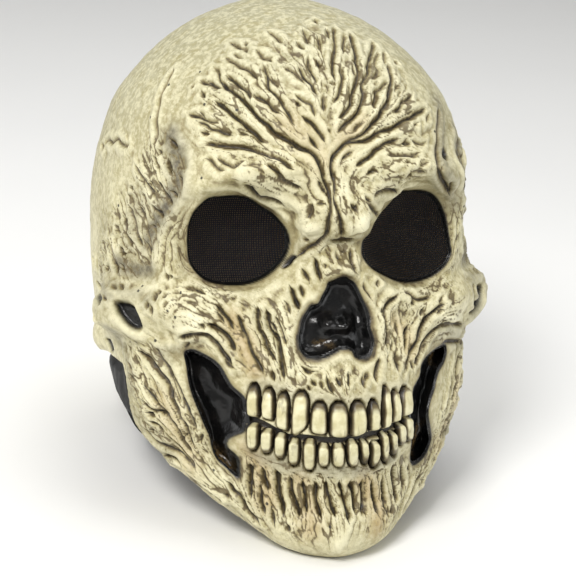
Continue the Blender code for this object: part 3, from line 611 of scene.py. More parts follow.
    ("maxilla_z", 0.6, 1.0, "395,346 395,358 397,366 398,378"),
    ("maxilla_aa", 0.5, 0.8, "391,326 390,342"),
    ("maxilla_ab", 0.7, 1.0, "411,358 412,366 414,371"),
    ("maxilla_ac", 0.8, 1.2, "378,352 378,360 376,371 376,382 378,388"),
    ("maxilla_ad", 0.7, 1.1, "369,370 366,376 365,383"),
    ("maxilla_ae", 0.6, 0.9, "349,371 348,382 349,393"),
    ("maxilla_af", 0.6, 0.9, "361,371 363,382 365,393"),
    ("zygoma_a", 0.7, 1.1, "472,282 473,291 474,301 476,306"),
    ("zygoma_b", 0.8, 1.3, "440,344 447,341 455,341 464,341"),
    ("zygoma_c", 0.5, 0.8, "421,349 427,342"),
    # jaw's upright branch and body, image left
    ("ramus_a", 0.8, 1.4, "136,348 142,353 151,359 156,366 162,374 168,381 171,388 173,395 177,404"),
    ("ramus_b", 0.6, 1.0, "152,342 158,350 162,358 167,365 171,375 175,385 180,398 184,409"),
    ("ramus_c", 0.6, 1.0, "165,357 170,368 174,378 180,389 184,400 188,409 193,420 198,431 200,435"),
    ("ramus_d", 0.6, 1.0, "129,369 132,377 137,385"),
    ("ramus_e", 0.7, 1.1, "145,383 150,391 155,398 160,404 165,409 171,415 177,423"),
    ("ramus_f", 0.8, 1.3, "142,396 145,401 150,408 155,410 162,411 168,414 172,419 178,425 182,434 188,443 193,451 197,458"),
    ("ramus_g", 0.8, 1.3, "144,410 149,413 155,415 160,420"),
    ("ramus_h", 0.8, 1.4, "148,419 154,422 160,425 167,433 172,438 179,444 184,449 190,458 195,467 199,474"),
    ("ramus_i", 0.8, 1.4, "143,423 147,429 151,435 157,441 163,444 170,447 177,450 183,454 190,462 195,469"),
    ("ramus_j", 0.8, 1.3, "162,457 168,455 174,457 179,460 185,467"),
    ("ramus_k", 0.7, 1.1, "172,390 174,400 179,409 182,417 187,424 189,431 192,441 197,448 199,451"),
    ("ramus_l", 0.6, 0.9, "180,387 184,398 190,410 194,420"),
    ("ramus_m", 0.6, 0.9, "150,428 157,433"),
    ("ramus_n", 0.6, 0.9, "127,340 128,349 128,360"),
    ("body_a", 0.8, 1.4, "224,478 230,483 234,490 240,495 244,503 250,512 257,520 264,527"),
    ("body_b", 0.5, 0.7, "223,492 233,499"),
    ("ramus_o", 0.6, 0.9, "441,413 439,424 436,431"),
    ("ramus_p", 0.6, 0.9, "445,412 444,421 442,428"),
    # lower jaw under the teeth
    ("chin_a", 1.0, 1.8, "250,458 251,466 251,480 251,491 253,503"),
    ("chin_b", 0.9, 1.6, "262,462 264,469 264,478 268,489 271,496"),
    ("chin_c", 0.8, 1.4, "261,480 261,491 262,502 265,511 269,519"),
    ("chin_d", 1.0, 1.7, "275,463 278,474 278,485 280,497 283,506 284,519"),
    ("chin_e", 0.7, 1.2, "271,502 273,513 275,524 277,530"),
    ("chin_f", 0.7, 1.1, "286,521 291,535"),
    ("chin_g", 0.9, 1.6, "290,471 291,482 292,492 297,505 299,513 299,522"),
    ("chin_h", 0.8, 1.4, "302,476 303,486 305,497 306,508 306,518"),
    ("chin_i", 0.9, 1.6, "315,478 316,489 316,500 319,509 322,523"),
    ("chin_j", 0.9, 1.7, "326,475 326,486 329,498 331,506 333,510 336,522"),
    ("chin_k", 0.9, 1.7, "339,475 339,484 342,493 345,503 348,513 348,522 349,528"),
    ("chin_l", 0.9, 1.6, "349,475 350,484 353,492 354,502 355,519"),
    ("chin_m", 0.9, 1.6, "360,474 361,485 362,497 362,508 360,520"),
    ("chin_n", 0.6, 1.0, "363,502 365,519"),
    ("chin_o", 0.9, 1.5, "370,476 371,486 374,501 376,511 379,522"),
    ("chin_p", 0.9, 1.5, "381,471 381,482 383,494 384,505 387,513 388,524"),
    ("chin_q", 0.9, 1.5, "390,460 391,471 393,484 395,497 395,510"),
    ("chin_r", 0.8, 1.3, "399,461 401,474 402,484 402,495"),
    ("chin_s", 0.7, 1.0, "406,462 409,472"),
    ("chin_t", 0.6, 1.0, "390,502 391,518"),
)

# Rolls and swellings: height and radius in mm, whether both sides have it, then the points as pixels
ROLLS = (
    ("brow_roll", 2.6, 5.5, False, "232,172 250,176 265,182 280,191 292,200 303,211 303,222 297,233"),
    ("brow_lobe", 4.2, 7.0, False, "306,218 310,228 314,236"),
    ("brow_lobe_right", 4.0, 6.5, False, "356,212 360,222 362,232"),
    ("brow_roll_right", 1.4, 4.5, False, "345,176 346,192 350,205"),
    ("brow_bar", 1.1, 5.0, False, "338,170 337,190 335,205 338,225"),
    ("eye_rim_left", 1.2, 3.6, False, "205,192 220,188 236,188 254,194 270,203 283,213 292,226"),
    ("eye_rim_right", 1.2, 3.2, False, "372,214 380,203 390,196 404,187 422,184"),
    ("eye_rim_low", 0.9, 4.0, False, "192,284 205,291 222,295 240,296 258,294 274,286 288,276"),
    ("eye_rim_low_right", 0.8, 3.6, False, "372,280 386,288 402,292 420,292 436,286"),
    ("temple_line", 1.4, 3.4, True, "172,120 181,139 187,149 191,160 191,174 189,188 184,199 177,209 169,221 163,235 160,250"
     " 157,263 151,274"),
    ("nose_rim_top", 1.4, 3.4, False, "324,279 331,273 340,271 349,272 356,277"),
    ("nose_rim_left", 1.5, 3.2, False, "320,289 311,300 302,310 296,325 293,340 294,352 301,362"),
    ("nose_rim_right", 1.3, 3.0, False, "361,284 369,299 375,315 378,330 380,345 377,358"),
    ("nose_rim_low", 1.3, 3.2, False, "301,362 314,367 328,364 340,357 352,358 364,366 376,359"),
    ("spine", 1.0, 3.2, False, "346,354 347,372 348,396"),
    ("cord_a", 1.1, 3.6, False, "240,310 246,325 254,345 262,362 268,378"),
    ("cord_b", 1.0, 3.0, False, "262,318 268,335 275,352 281,366"),
    ("cord_c", 1.4, 5.0, False, "275,300 284,312 291,335 293,360 293,385"),
    ("cord_d", 1.2, 4.0, False, "379,292 380,320 381,345 384,372"),
    ("cord_e", 1.0, 3.0, False, "396,310 398,330 400,352 404,372"),
    ("cheek_bulge", 1.2, 8.0, False, "166,328 186,326 205,312"),
    ("cheek_bulge_right", 1.0, 7.0, False, "424,318 446,312"),
    ("cheek_edge", 1.2, 4.0, True, "152,336 163,345 176,344 190,336 204,330 218,338 229,352"),
    ("cheek_edge_right", 1.2, 4.0, False, "432,338 446,334 462,332 474,326"),
    ("arch_top", 1.2, 4.0, True, "100,290 114,296 132,294 150,288 166,284"),
    ("arch_low", 1.2, 3.6, True, "108,312 120,324 136,336 150,338"),
    ("jaw_edge", 0.9, 4.0, True, "136,428 150,446 170,460 190,474 212,490 240,510"),
    ("gum_top", 0.8, 4.0, False, "252,384 275,388 300,394 340,399 375,398 395,388 408,384"),
    ("gum_low", 1.2, 5.0, False, "250,455 275,463 300,471 340,474 366,470 385,462 402,450"),
    ("chin_boss", 1.4, 12.0, False, "330,540 350,545"),
    ("mastoid_edge", 1.4, 3.6, True, "96,318 98,334 101,350 108,362"),
    ("temple_cord_a", 1.0, 3.4, True, "160,150 166,168 172,186 179,204"),
    ("temple_cord_b", 1.0, 3.4, True, "144,176 152,196 160,214 166,228"),
    ("temple_cord_c", 1.0, 3.4, True, "126,220 134,238 142,254 150,266"),
    ("temple_cord_d", 1.0, 3.4, True, "112,228 116,246 122,262 128,276"),
    ("ramus_cord_a", 1.2, 4.0, True, "142,350 156,372 168,394 178,414 190,434"),
    ("ramus_cord_b", 1.2, 4.0, True, "130,352 140,378 152,400 168,420 184,440 196,462"),
    ("fan_cord_a", 0.8, 3.6, False, "250,62 262,80 276,100 292,124 312,146"),
    ("fan_cord_b", 0.8, 3.6, False, "228,98 250,116 272,136 296,154"),
    ("fan_cord_c", 0.8, 3.6, False, "310,66 314,96 322,126 328,150"),
    ("fan_cord_d", 0.8, 3.6, False, "346,62 344,90 338,122 334,148"),
    ("fan_cord_e", 0.8, 3.6, False, "396,78 380,104 362,128 344,150"),
    ("fan_cord_f", 0.8, 3.6, False, "420,118 398,134 374,146 352,158"),
)

# Where the strands of the sculpture are strong: height and radius in mm, both sides, the middle as a pixel
STRAND_AREAS = (
    ("temple_upper", 0.75, 22, True, "158,175"),
    ("temple_lower", 0.90, 24, True, "136,235"),
    ("temple_behind", 0.65, 20, True, "106,250"),
    ("ramus_upper", 0.85, 22, True, "145,375"),
    ("ramus_lower", 0.95, 26, True, "172,430"),
    ("jaw_corner", 0.60, 24, True, "214,480"),
    ("chin_left", 0.80, 22, False, "262,490"),
    ("chin_middle", 0.80, 26, False, "320,495"),
    ("chin_right", 0.80, 24, False, "378,490"),
    ("maxilla_left", 0.65, 22, False, "262,335"),
    ("maxilla_low", 0.55, 16, False, "290,370"),
    ("maxilla_right", 0.65, 22, False, "396,335"),
    ("under_nose", 0.50, 14, False, "340,382"),
    ("cheek_left", 0.55, 24, False, "200,310"),
    ("cheek_right", 0.55, 24, False, "440,310"),
    ("forehead_left", 0.55, 34, False, "250,115"),
    ("forehead_right", 0.55, 34, False, "372,100"),
    ("forehead_high", 0.45, 32, False, "320,60"),
    ("glabella", 0.50, 24, False, "335,190"),
    ("brow_left", 0.50, 22, False, "270,175"),
    ("brow_right", 0.50, 22, False, "400,165"),
    ("bridge", 0.50, 16, False, "335,258"),
    ("side_right", 0.50, 24, True, "452,235"),
)

# Openings through the skin: outlines as pixels
EYE_LEFT = ("208,198 222,196 236,195 250,198 262,206 273,213 281,221 287,229 290,238 290,247 287,256 280,266 270,275"
            " 260,281 248,285 235,286 220,285 206,281 196,273 189,262 187,248 187,235 189,222 195,210")
EYE_RIGHT = ("400,192 412,190 424,190 434,194 441,203 446,216 449,232 451,245 452,252 448,263 441,271 430,278 414,283"
             " 398,282 384,276 372,269 364,260 361,250 363,240 370,233 375,222 381,213 390,203")
NOSE_HOLE = ("340,277 345,276 350,279 354,281 358,287 364,300 368,309 371,319 371,327 374,336 375,343 373,353 369,358"
             " 361,360 355,358 352,352 346,350 340,351 333,355 325,359 315,360 306,358 300,351 298,342 299,332 301,322"
             " 305,313 311,305 318,303 322,295 326,288 328,282 333,280")
CHEEK_LEFT = ("184,352 186,365 188,380 191,392 195,403 200,415 204,425 209,436 213,452 218,461 226,468 233,475 240,479"
              " 241,470 240,460 236,454 229,448 228,442 232,438 239,435 246,431 247,413 246,399 240,392 233,386 227,376"
              " 222,367 215,360 205,354 193,349")
CHEEK_RIGHT = ("441,345 432,351 425,358 421,366 420,375 416,383 413,390 412,410 412,425 412,433 411,447 410,460 413,466"
               " 420,462 426,455 430,446 432,437 431,428 429,414 431,402 435,390 437,380 440,371 444,364 447,354 446,344")

# Small dark holes and pits: depth in mm, both sides, outline as pixels
HOLES = (
    ("ear_slot", 4.0, True, "93,282 98,282 101,289 102,297 101,304 97,304 94,298 92,290"),
    ("arch_slot", 4.5, True, "113,302 118,299 126,300 132,304 136,312 140,321 142,330 136,332 128,328 121,321 115,312"),
    ("eye_corner", 1.6, False, "281,268 286,259 292,254 299,256 294,262 286,268"),
    ("mastoid_pit", 3.0, True, "105,339 109,339 113,345 113,352 107,351 104,346"),
    ("side_hole", 2.4, False, "444,146 447,150 449,156 447,161 443,160 441,154"),
)

# Small round pits, painted as dark spots of shade with no depth: places as pixels
PIT_RADIUS = 1.0 * MM
PITS = (
    "170,86 152,118 119,205.5 201.5,178 200,72 205,105 237.5,111 268,503 330,527 376,483 143,286.5 139.5,292 168,311"
    " 175.5,317 181,293 433,132 462,206 386,262 214,470 242,516 156,340 292,148 412,232"
)

# Painted shade, painted highlight and tints: channel, strength, radius in mm, both sides, points as pixels
SHADES = (
    # dark: painted shade over the mask's brown wash, inside the temple line, in the hollows and under the bones
    ("dark", 0.90, 7.0, True, "172,136 178,152 180,172 177,190 168,206 158,222 151,240"),
    ("dark", 0.85, 5.5, True, "121,263 134,270 150,269"),
    ("dark", 0.60, 3.0, True, "102,284 106,292 112,298"),
    ("dark", 0.35, 11.0, True, "140,205 136,225 132,250 130,268"),
    ("dark", 0.60, 7.0, False, "438,104 440,128 440,150 446,180 452,205"),
    ("dark", 0.30, 12.0, True, "106,230 104,262 104,300"),
    ("dark", 0.45, 5.0, True, "110,284 122,290 140,296 150,302"),
    ("dark", 0.50, 6.0, True, "112,330 124,345 130,365 132,390"),
    ("dark", 0.40, 7.0, True, "134,412 150,430 168,446"),
    ("dark", 0.45, 5.0, True, "158,352 178,352 196,344"),
    ("dark", 0.35, 6.0, False, "262,385 300,398 345,404 380,398 404,388"),
    ("dark", 0.55, 4.0, False, "252,452 275,460 300,468 345,471 370,466 392,455"),
    ("dark", 0.35, 6.0, False, "300,246 318,238 328,240 345,238 362,238"),
    ("dark", 0.35, 4.0, False, "186,200 184,222 182,248 186,270"),
    ("dark", 0.35, 8.0, False, "430,338 446,336 464,334"),
    ("dark", 0.30, 9.0, False, "474,286 478,305 470,322"),
    # amber: the mask's own amber stain
    ("amber", 0.50, 6.0, False, "232,320 246,345 256,368"),
    ("amber", 0.45, 7.0, False, "250,450 262,470 268,500"),
    ("amber", 0.40, 7.0, False, "300,478 306,500 310,528"),
    ("amber", 0.45, 7.0, False, "362,480 376,505 378,525"),
    ("amber", 0.35, 6.0, False, "392,322 402,332 408,350"),
    ("amber", 0.30, 6.0, False, "360,124 350,134 344,142"),
    ("amber", 0.30, 8.0, True, "165,400 180,430 192,460"),
    ("amber", 0.25, 10.0, False, "290,128 306,140 320,160"),
    # pale: painted highlight on the tops of the cheekbones, brow lobes, jaw and chin
    ("pale", 0.50, 9.0, False, "178,300 190,318 206,300"),
    ("pale", 0.50, 8.0, False, "448,316 462,312"),
    ("pale", 0.40, 12.0, False, "330,540 350,546"),
    ("pale", 0.35, 10.0, False, "205,462 216,474"),
    ("pale", 0.35, 6.0, False, "312,226 314,234"),
    ("pale", 0.35, 6.0, False, "360,220 362,228"),
)

# Teeth as pixels: left, right, top of the socket, top of the crown, biting edge at left and right, lean of the root
UPPER_TEETH = (
    (246.7, 260.0, 383, 390, 417, 418, 1.5),
    (261.5, 274.7, 387, 392, 419, 421, 1.5),
    (275.8, 289.5, 391, 397, 429, 432, 1.5),
    (290.8, 309.2, 390, 395, 439, 427, 2.0),
    (309.8, 328.0, 401, 407, 434, 436, 1.0),
    (328.6, 349.3, 401, 408, 438, 439, 0.0),
    (350.0, 367.3, 400, 407, 439, 434, -1.0),
    (368.5, 379.8, 399, 408, 432, 431, -1.5),
    (382.6, 390.2, 385, 391, 430, 428, -1.5),
    (391.0, 399.6, 389, 393, 424, 422, -1.5),
    (400.4, 411.6, 386, 390, 418, 415, -2.0),
)
LOWER_TEETH = (
    (247.0, 259.4, 451, 447, 424, 425, 0.0),
    (260.6, 273.6, 454, 449, 430, 431, 0.0),
    (274.4, 287.0, 459, 454, 434, 436, 0.0),
    (288.0, 300.4, 466, 461, 440, 441, 0.0),
    (302.6, 316.6, 471, 467, 441, 441, 0.0),
    (317.4, 330.2, 467, 463, 445, 446, 0.0),
    (331.2, 345.4, 467, 464, 446, 445, 0.0),
    (346.4, 358.4, 467, 463, 442, 441, 0.0),
    (359.8, 368.4, 465, 457, 441, 441, 0.0),
    (370.6, 379.6, 468, 462, 442, 441, -4.0),
    (380.4, 387.4, 463, 457, 434, 432, 0.0),
    (389.4, 395.9, 456, 449, 433, 431, 0.0),
    (396.9, 404.2, 446, 441, 425, 423, 0.0),
    (403.6, 411.4, 442, 438, 418, 416, 0.0),
)
BITE_LINE = "248,420 262,425 276,433 290,439 302,439 330,442 350,440 366,437 378,434 388,430 398,422 412,414"


def points_of(text):
    """Pixels from a row of the tables."""
    return np.array([[float(number) for number in pair.split(",")] for pair in text.split()])


def seen_curve(text, both_sides=False):
    """Smooth curves on the skin through pixels: one, or two where the other side has it too."""
    curve = seen_at(open_curve(points_of(text), 1.5))
    curves = [curve] if len(curve) > 1 else []
    if both_sides:
        curves += [line * np.array((-1, 1, 1)) for line in curves]
    return curves


skin_points = smooth_skin.reshape(-1, 3)
skin_normals = smooth_normal.reshape(-1, 3)


def near_curve(curve, reach):
    """Skin points within reach of a curve: their indices, distances and shares of the way along it."""
    low, high = curve.min(axis=0) - reach, curve.max(axis=0) + reach
    inside = np.nonzero(np.all((skin_points > low) & (skin_points < high), axis=1))[0]
    points = skin_points[inside].astype(np.float32)
    steps = np.diff(curve, axis=0).astype(np.float32)
    lengths = np.maximum(np.linalg.norm(steps, axis=1), 1e-9)
    travelled = np.concatenate(([0], np.cumsum(lengths)))
    best = np.full(len(points), np.inf, dtype=np.float32)
    along = np.zeros(len(points), dtype=np.float32)
    for start, step, length, before in zip(curve[:-1].astype(np.float32), steps, lengths, travelled):
        away = points - start
        share = np.clip(away @ step / length**2, 0, 1)
        distance = np.linalg.norm(away - share[:, None] * step, axis=1)
        closer = distance < best
        best[closer] = distance[closer]
        along[closer] = (before + share * length)[closer]
    close = best < reach
    return inside[close], best[close], along[close] / travelled[-1], travelled[-1]


def taper(along, length, end=6.5 * MM):
    """1 along a stroke and 0 at its two ends."""
    reach = min(end / length, 0.45)
    return smooth_step(np.minimum(along, 1 - along) / reach)


def value_noise(points, cell, seed):
    """Smooth noise from 0 to 1 in space."""
    scaled = points / cell + 1000.0
    base = np.floor(scaled).astype(np.int64)
    part = scaled - base
    part = part * part * (3 - 2 * part)
    total = np.zeros(len(points))
    for corner in range(8):
        offset = np.array((corner & 1, corner >> 1 & 1, corner >> 2 & 1))
        x, y, z = (base + offset).T
        mixed = (x * 73856093) ^ (y * 19349663) ^ (z * 83492791) ^ (seed * 2654435761)
        mixed = (mixed ^ (mixed >> 13)) * 1274126177 & 0xFFFFFFFF
        mixed = (mixed ^ (mixed >> 16)) & 0xFFFF
        weight = np.prod(np.where(offset, part, 1 - part), axis=1)
        total += weight * mixed / 65535.0
    return total


def polygon_distance(points, outline):
    """Distance of flat points from a closed outline, negative inside it."""
    best = np.full(len(points), np.inf)
    inside = np.zeros(len(points), dtype=bool)
    ends = np.roll(outline, -1, axis=0)
    for (x0, y0), (x1, y1) in zip(outline, ends):
        step = np.array((x1 - x0, y1 - y0))
        away = points - (x0, y0)
        share = np.clip(away @ step / max(step @ step, 1e-12), 0, 1)
        best = np.minimum(best, np.linalg.norm(away - share[:, None] * step, axis=1))
        crosses = (y0 > points[:, 1]) != (y1 > points[:, 1])
        if y1 != y0:
            inside ^= crosses & (points[:, 0] < x0 + (points[:, 1] - y0) * (x1 - x0) / (y1 - y0))
    return np.where(inside, -best, best)


FAR = 1.0


def hole_distance(outline, both_sides=False):
    """Distance of every skin point from an outline given by pixels, seen from the front, negative inside."""
    curve = seen_at(closed_curve(points_of(outline), 90))
    result = np.full(len(skin_points), FAR)
    for side in (1, -1) if both_sides else (1,):
        line = curve * np.array((side, 1, 1))
        low, high = line.min(axis=0) - 12 * MM, line.max(axis=0) + 12 * MM
        near = np.nonzero(np.all((skin_points > low) & (skin_points < high), axis=1))[0]
        middle = line.mean(axis=0)
        facing = unit_vectors(np.cross(line - middle, np.roll(line, -5, axis=0) - middle).sum(axis=0))
        across = unit_vectors(np.cross((0, 0, 1), facing))
        up = np.cross(facing, across)
        flat = np.stack((line @ across, line @ up), -1)
        distance = polygon_distance(np.stack((skin_points[near] @ across, skin_points[near] @ up), -1), flat)
        result[near] = np.minimum(result[near], distance)
    return result


# Grooves, with the rise of the skin between them
GROOVE_REACH = 7 * MM
LINE_WIDTH = 0.36 * MM
LINE_BLUR = 1.1 * MM
CUSHION_RISE = 1.7 * MM
CUSHION_RADIUS = 2.4 * MM

groove_depth = np.zeros(len(skin_points))
groove_soft = np.zeros(len(skin_points))
groove_line = np.zeros(len(skin_points))
groove_distance = np.full(len(skin_points), GROOVE_REACH)
flow_points, flow_tangents = [], []
MIRRORED_GROOVES = ("temple", "ramus", "arch", "body")
for name, half_width, depth, text in GROOVES:
    for curve in seen_curve(text, name.startswith(MIRRORED_GROOVES)):
        index, distance, along, length = near_curve(curve, GROOVE_REACH)
        strength = taper(along, length)
        width = half_width * MM * (0.45 + 0.40 * strength)
        cut = depth * MM * strength * np.exp(-((distance / width) ** 2))
        groove_depth[index] = np.maximum(groove_depth[index], cut)
        valley = depth * MM * strength * np.exp(-((distance / (2.0 * half_width * MM)) ** 2))
        groove_soft[index] = np.maximum(groove_soft[index], valley)
        line_half = LINE_WIDTH * (0.25 + 0.85 * half_width) * np.maximum(strength, 0.02) ** 0.45
        line = np.clip(0.5 + (line_half - distance) / LINE_BLUR, 0, 1) * (strength > 0.01)
        groove_line[index] = np.maximum(groove_line[index], line)
        groove_distance[index] = np.minimum(groove_distance[index], distance + (1 - strength) * 4 * MM)
        flow_points.append(0.5 * (curve[1:] + curve[:-1])[::2])
        flow_tangents.append(unit_vectors(np.diff(curve, axis=0))[::2])

# Rolls and swellings
raised = np.zeros(len(skin_points))
for name, height, radius, both_sides, text in ROLLS:
    for curve in seen_curve(text, both_sides):
        index, distance, along, length = near_curve(curve, radius * MM * 1.6)
        shape = np.exp(-((distance / (radius * MM)) ** 2) * 1.6)
        lift = height * MM * shape * taper(along, length, 6 * MM)
        raised[index] = np.maximum(raised[index], lift)
        if radius < 6:
            flow_points.append(0.5 * (curve[1:] + curve[:-1])[::2])
            flow_tangents.append(unit_vectors(np.diff(curve, axis=0))[::2])

flow_points = np.concatenate(flow_points).astype(np.float32)
flow_tangents = np.concatenate(flow_tangents).astype(np.float32)

# Directions of the strands: along the nearest grooves and rolls
FLOW_STEP = 4
FLOW_NEAR = 2.0 * MM


def flow_angles():
    """Direction of the strands at every skin point, as an angle from the grid's rows."""
    rows = np.arange(0, ROWS, FLOW_STEP)
    columns = np.arange(0, COLUMNS, FLOW_STEP)
    points = smooth_skin[np.ix_(rows, columns)].reshape(-1, 3).astype(np.float32)
    first = row_tangent[np.ix_(rows, columns)].reshape(-1, 3).astype(np.float32)
    second = level_tangent[np.ix_(rows, columns)].reshape(-1, 3).astype(np.float32)
    cosines = np.zeros(len(points), dtype=np.float32)
    sines = np.zeros(len(points), dtype=np.float32)
    squares = (flow_points**2).sum(axis=1)
    for start in range(0, len(points), 2000):
        part = slice(start, start + 2000)
        apart = (points[part] ** 2).sum(axis=1)[:, None] + squares - 2 * points[part] @ flow_points.T
        weight = 1 / (np.maximum(apart, 0) + FLOW_NEAR**2) ** 2
        one, two = first[part] @ flow_tangents.T, second[part] @ flow_tangents.T
        cosines[part] = (weight * (one**2 - two**2)).sum(axis=1)
        sines[part] = (weight * 2 * one * two).sum(axis=1)
    size = np.maximum(np.hypot(cosines, sines), 1e-12)
    shape = (len(rows), len(columns))
    return upsampled((cosines / size).reshape(shape)), upsampled((sines / size).reshape(shape))


def upsampled(coarse):
    """A coarse field of the grid brought to all its points."""
    row = np.minimum(np.arange(ROWS) / FLOW_STEP, coarse.shape[0] - 1.001)
    column = np.minimum(np.arange(COLUMNS) / FLOW_STEP, coarse.shape[1] - 1.001)
    top, left = row.astype(int), column.astype(int)
    down, right = (row - top)[:, None], (column - left)[None, :]
    upper = coarse[top][:, left] * (1 - right) + coarse[top][:, left + 1] * right
    lower = coarse[top + 1][:, left] * (1 - right) + coarse[top + 1][:, left + 1] * right
    return upper * (1 - down) + lower * down


along_columns = (np.roll(smooth_skin, -1, axis=1) - np.roll(smooth_skin, 1, axis=1)) / 2
along_rows = np.gradient(smooth_skin, axis=0)
row_tangent = unit_vectors(along_columns)
level_tangent = unit_vectors(along_rows - (along_rows * row_tangent).sum(axis=-1, keepdims=True) * row_tangent)


def strand_steps():
    """Grid steps for a metre along the strands: rows and columns."""
    cosine, sine = flow_angles()
    angle = 0.5 * np.arctan2(sine, cosine)
    column_length = np.maximum(np.linalg.norm(along_columns, axis=-1), 0.05 * MM)
    row_height = np.maximum((along_rows * level_tangent).sum(axis=-1), 0.05 * MM)
    row_slant = (along_rows * row_tangent).sum(axis=-1)
    row_step = np.sin(angle) / row_height
    column_step = (np.cos(angle) - row_slant * row_step) / column_length
    return row_step.astype(np.float32), column_step.astype(np.float32)


STRAND_PACE = 0.6 * MM
STRAND_REACH = 15


def streaked(noise, row_step, column_step, wanted):
    """Noise drawn out along the strands, with mean 0 and spread 1."""
    start_row, start_column = np.divmod(wanted, COLUMNS)
    total = noise.ravel()[wanted].astype(np.float32)
    for way in (1, -1):
        row, column = start_row.astype(np.float32), start_column.astype(np.float32)
        last_row = last_column = None
        for _ in range(STRAND_REACH):
            at = np.rint(row).astype(int) * COLUMNS + np.rint(column).astype(int) % COLUMNS
            down, side = row_step.ravel()[at], column_step.ravel()[at]
            if last_row is None:
                sign = np.full(len(down), way, dtype=np.float32)
            else:
                sign = np.where(down * last_row + side * last_column < 0, -1, 1).astype(np.float32)
            last_row, last_column = down * sign, side * sign
            row = np.clip(row + last_row * STRAND_PACE, 0, ROWS - 1)
            column = column + np.clip(last_column * STRAND_PACE, -4, 4)
            at = np.rint(row).astype(int) * COLUMNS + np.rint(column).astype(int) % COLUMNS
            total += noise.ravel()[at]
    total -= total.mean()
    return total / total.std()


strand_height = np.zeros(len(skin_points))
for name, height, radius, both_sides, text in STRAND_AREAS:
    middles = seen_at(points_of(text))
    if len(middles):
        for side in (1, -1) if both_sides else (1,):
            distance = np.linalg.norm(skin_points - middles[0] * np.array((side, 1, 1)), axis=1)
            area = height * MM * np.exp(-((distance / (radius * MM)) ** 2) * 1.5)
            strand_height = np.maximum(strand_height, area)
FINE_HEIGHT = 0.10 * MM
on_face = (np.arange(len(skin_points)) % COLUMNS < FACE_COLUMNS) & (skin_points[:, 1] < 40 * MM)
wanted = np.nonzero(on_face & (strand_height > 0.02 * MM))[0]
row_step, column_step = strand_steps()
strands = np.zeros(len(skin_points))
strand_valley = np.zeros(len(skin_points))
for cell, share, seed in ((2.6 * MM, 0.62, 3), (1.25 * MM, 0.38, 8)):
    noise = value_noise(skin_points, cell, seed)
    streak = np.abs(streaked(noise.reshape(ROWS, COLUMNS), row_step, column_step, wanted))
    strands[wanted] += share * (np.clip(streak / 1.1, 0, 1) ** 0.75 - 0.6)
    strand_valley[wanted] = np.maximum(strand_valley[wanted], share * 1.5 * np.clip(1 - streak / 0.42, 0, 1))

# Openings and pits
eye_left = hole_distance(EYE_LEFT)
eye_right = hole_distance(EYE_RIGHT)
nose_hole = hole_distance(NOSE_HOLE)
cheek_left = hole_distance(CHEEK_LEFT)
cheek_right = hole_distance(CHEEK_RIGHT)
opening = np.minimum.reduce((eye_left, eye_right, nose_hole, cheek_left, cheek_right))
pit_depth = np.zeros(len(skin_points))
pit_black = np.zeros(len(skin_points))
for name, depth, both_sides, outline in HOLES:
    distance = hole_distance(outline, both_sides)
    pit_depth = np.maximum(pit_depth, depth * MM * smooth_step((1.0 * MM - distance) / (3.2 * MM)))
    if "shaded" not in name:
        pit_black = np.maximum(pit_black, smooth_step((0.2 * MM - distance) / (1.4 * MM)))

RIM_OUT = 1.2 * MM
RIM_IN = 1.3 * MM
rim_share = np.clip((RIM_OUT - opening) / (RIM_OUT + RIM_IN), 0, 1)
rim_drop = (RIM_OUT + RIM_IN) * (1 - np.sqrt(1 - np.minimum(rim_share, 0.995) ** 2))

# The bed of the teeth
BED_DEPTH = 3.0 * MM
TOOTH_GAP = 0.55 * MM


def tooth_width(share):
    """Width of a tooth from its root (0) to its biting edge (1), as a share of its widest."""
    stations = (0, 0.06, 0.16, 0.32, 0.60, 0.86, 0.96, 1)
    return np.interp(share, stations, (0.30, 0.56, 0.78, 0.93, 1.0, 0.99, 0.90, 0.74))


def tooth_lean(share, lean):
    """Sideways shift of a tooth's root, in pixels."""
    return lean * np.clip(1 - share / 0.6, 0, 1) * 0.8


def tooth_outline(row):
    """Outline of a tooth as pixels."""
    left, right, socket, crown, edge_left, edge_right, lean = row
    shares = np.linspace(0, 1, 9)
    middle, half = 0.5 * (left + right) + tooth_lean(shares, lean), 0.5 * (right - left) * tooth_width(shares)
    sides = []
    for way, edge in ((-1, edge_left), (1, edge_right)):
        sides.append(np.stack((middle + way * half, socket + (edge - socket) * shares), -1))
    return np.concatenate((sides[0], sides[1][::-1]))


in_front = (skin_points[:, 1] < -40 * MM) & (smooth_normal.reshape(-1, 3) @ VIEW_BACK > 0)
skin_pixels = pixel_of(skin_points)
near_mouth = np.nonzero(
    in_front
    & (skin_pixels[:, 0] > 236)
    & (skin_pixels[:, 0] < 424)
    & (skin_pixels[:, 1] > 374)
    & (skin_pixels[:, 1] < 482)
)[0]
mouth = np.full(len(near_mouth), np.inf)
for row in UPPER_TEETH + LOWER_TEETH:
    mouth = np.minimum(mouth, polygon_distance(skin_pixels[near_mouth], tooth_outline(row)) * PIXEL)
bite = open_curve(points_of(BITE_LINE), 2.0)
for start, end in zip(bite[:-1], bite[1:]):
    step = end - start
    away = skin_pixels[near_mouth] - start
    share = np.clip(away @ step / (step @ step), 0, 1)
    mouth = np.minimum(mouth, np.linalg.norm(away - share[:, None] * step, axis=1) * PIXEL - 1.6 * MM)
bed = np.zeros(len(skin_points))
bed[near_mouth] = smooth_step((TOOTH_GAP + 0.5 * MM - mouth) / (1.3 * MM))

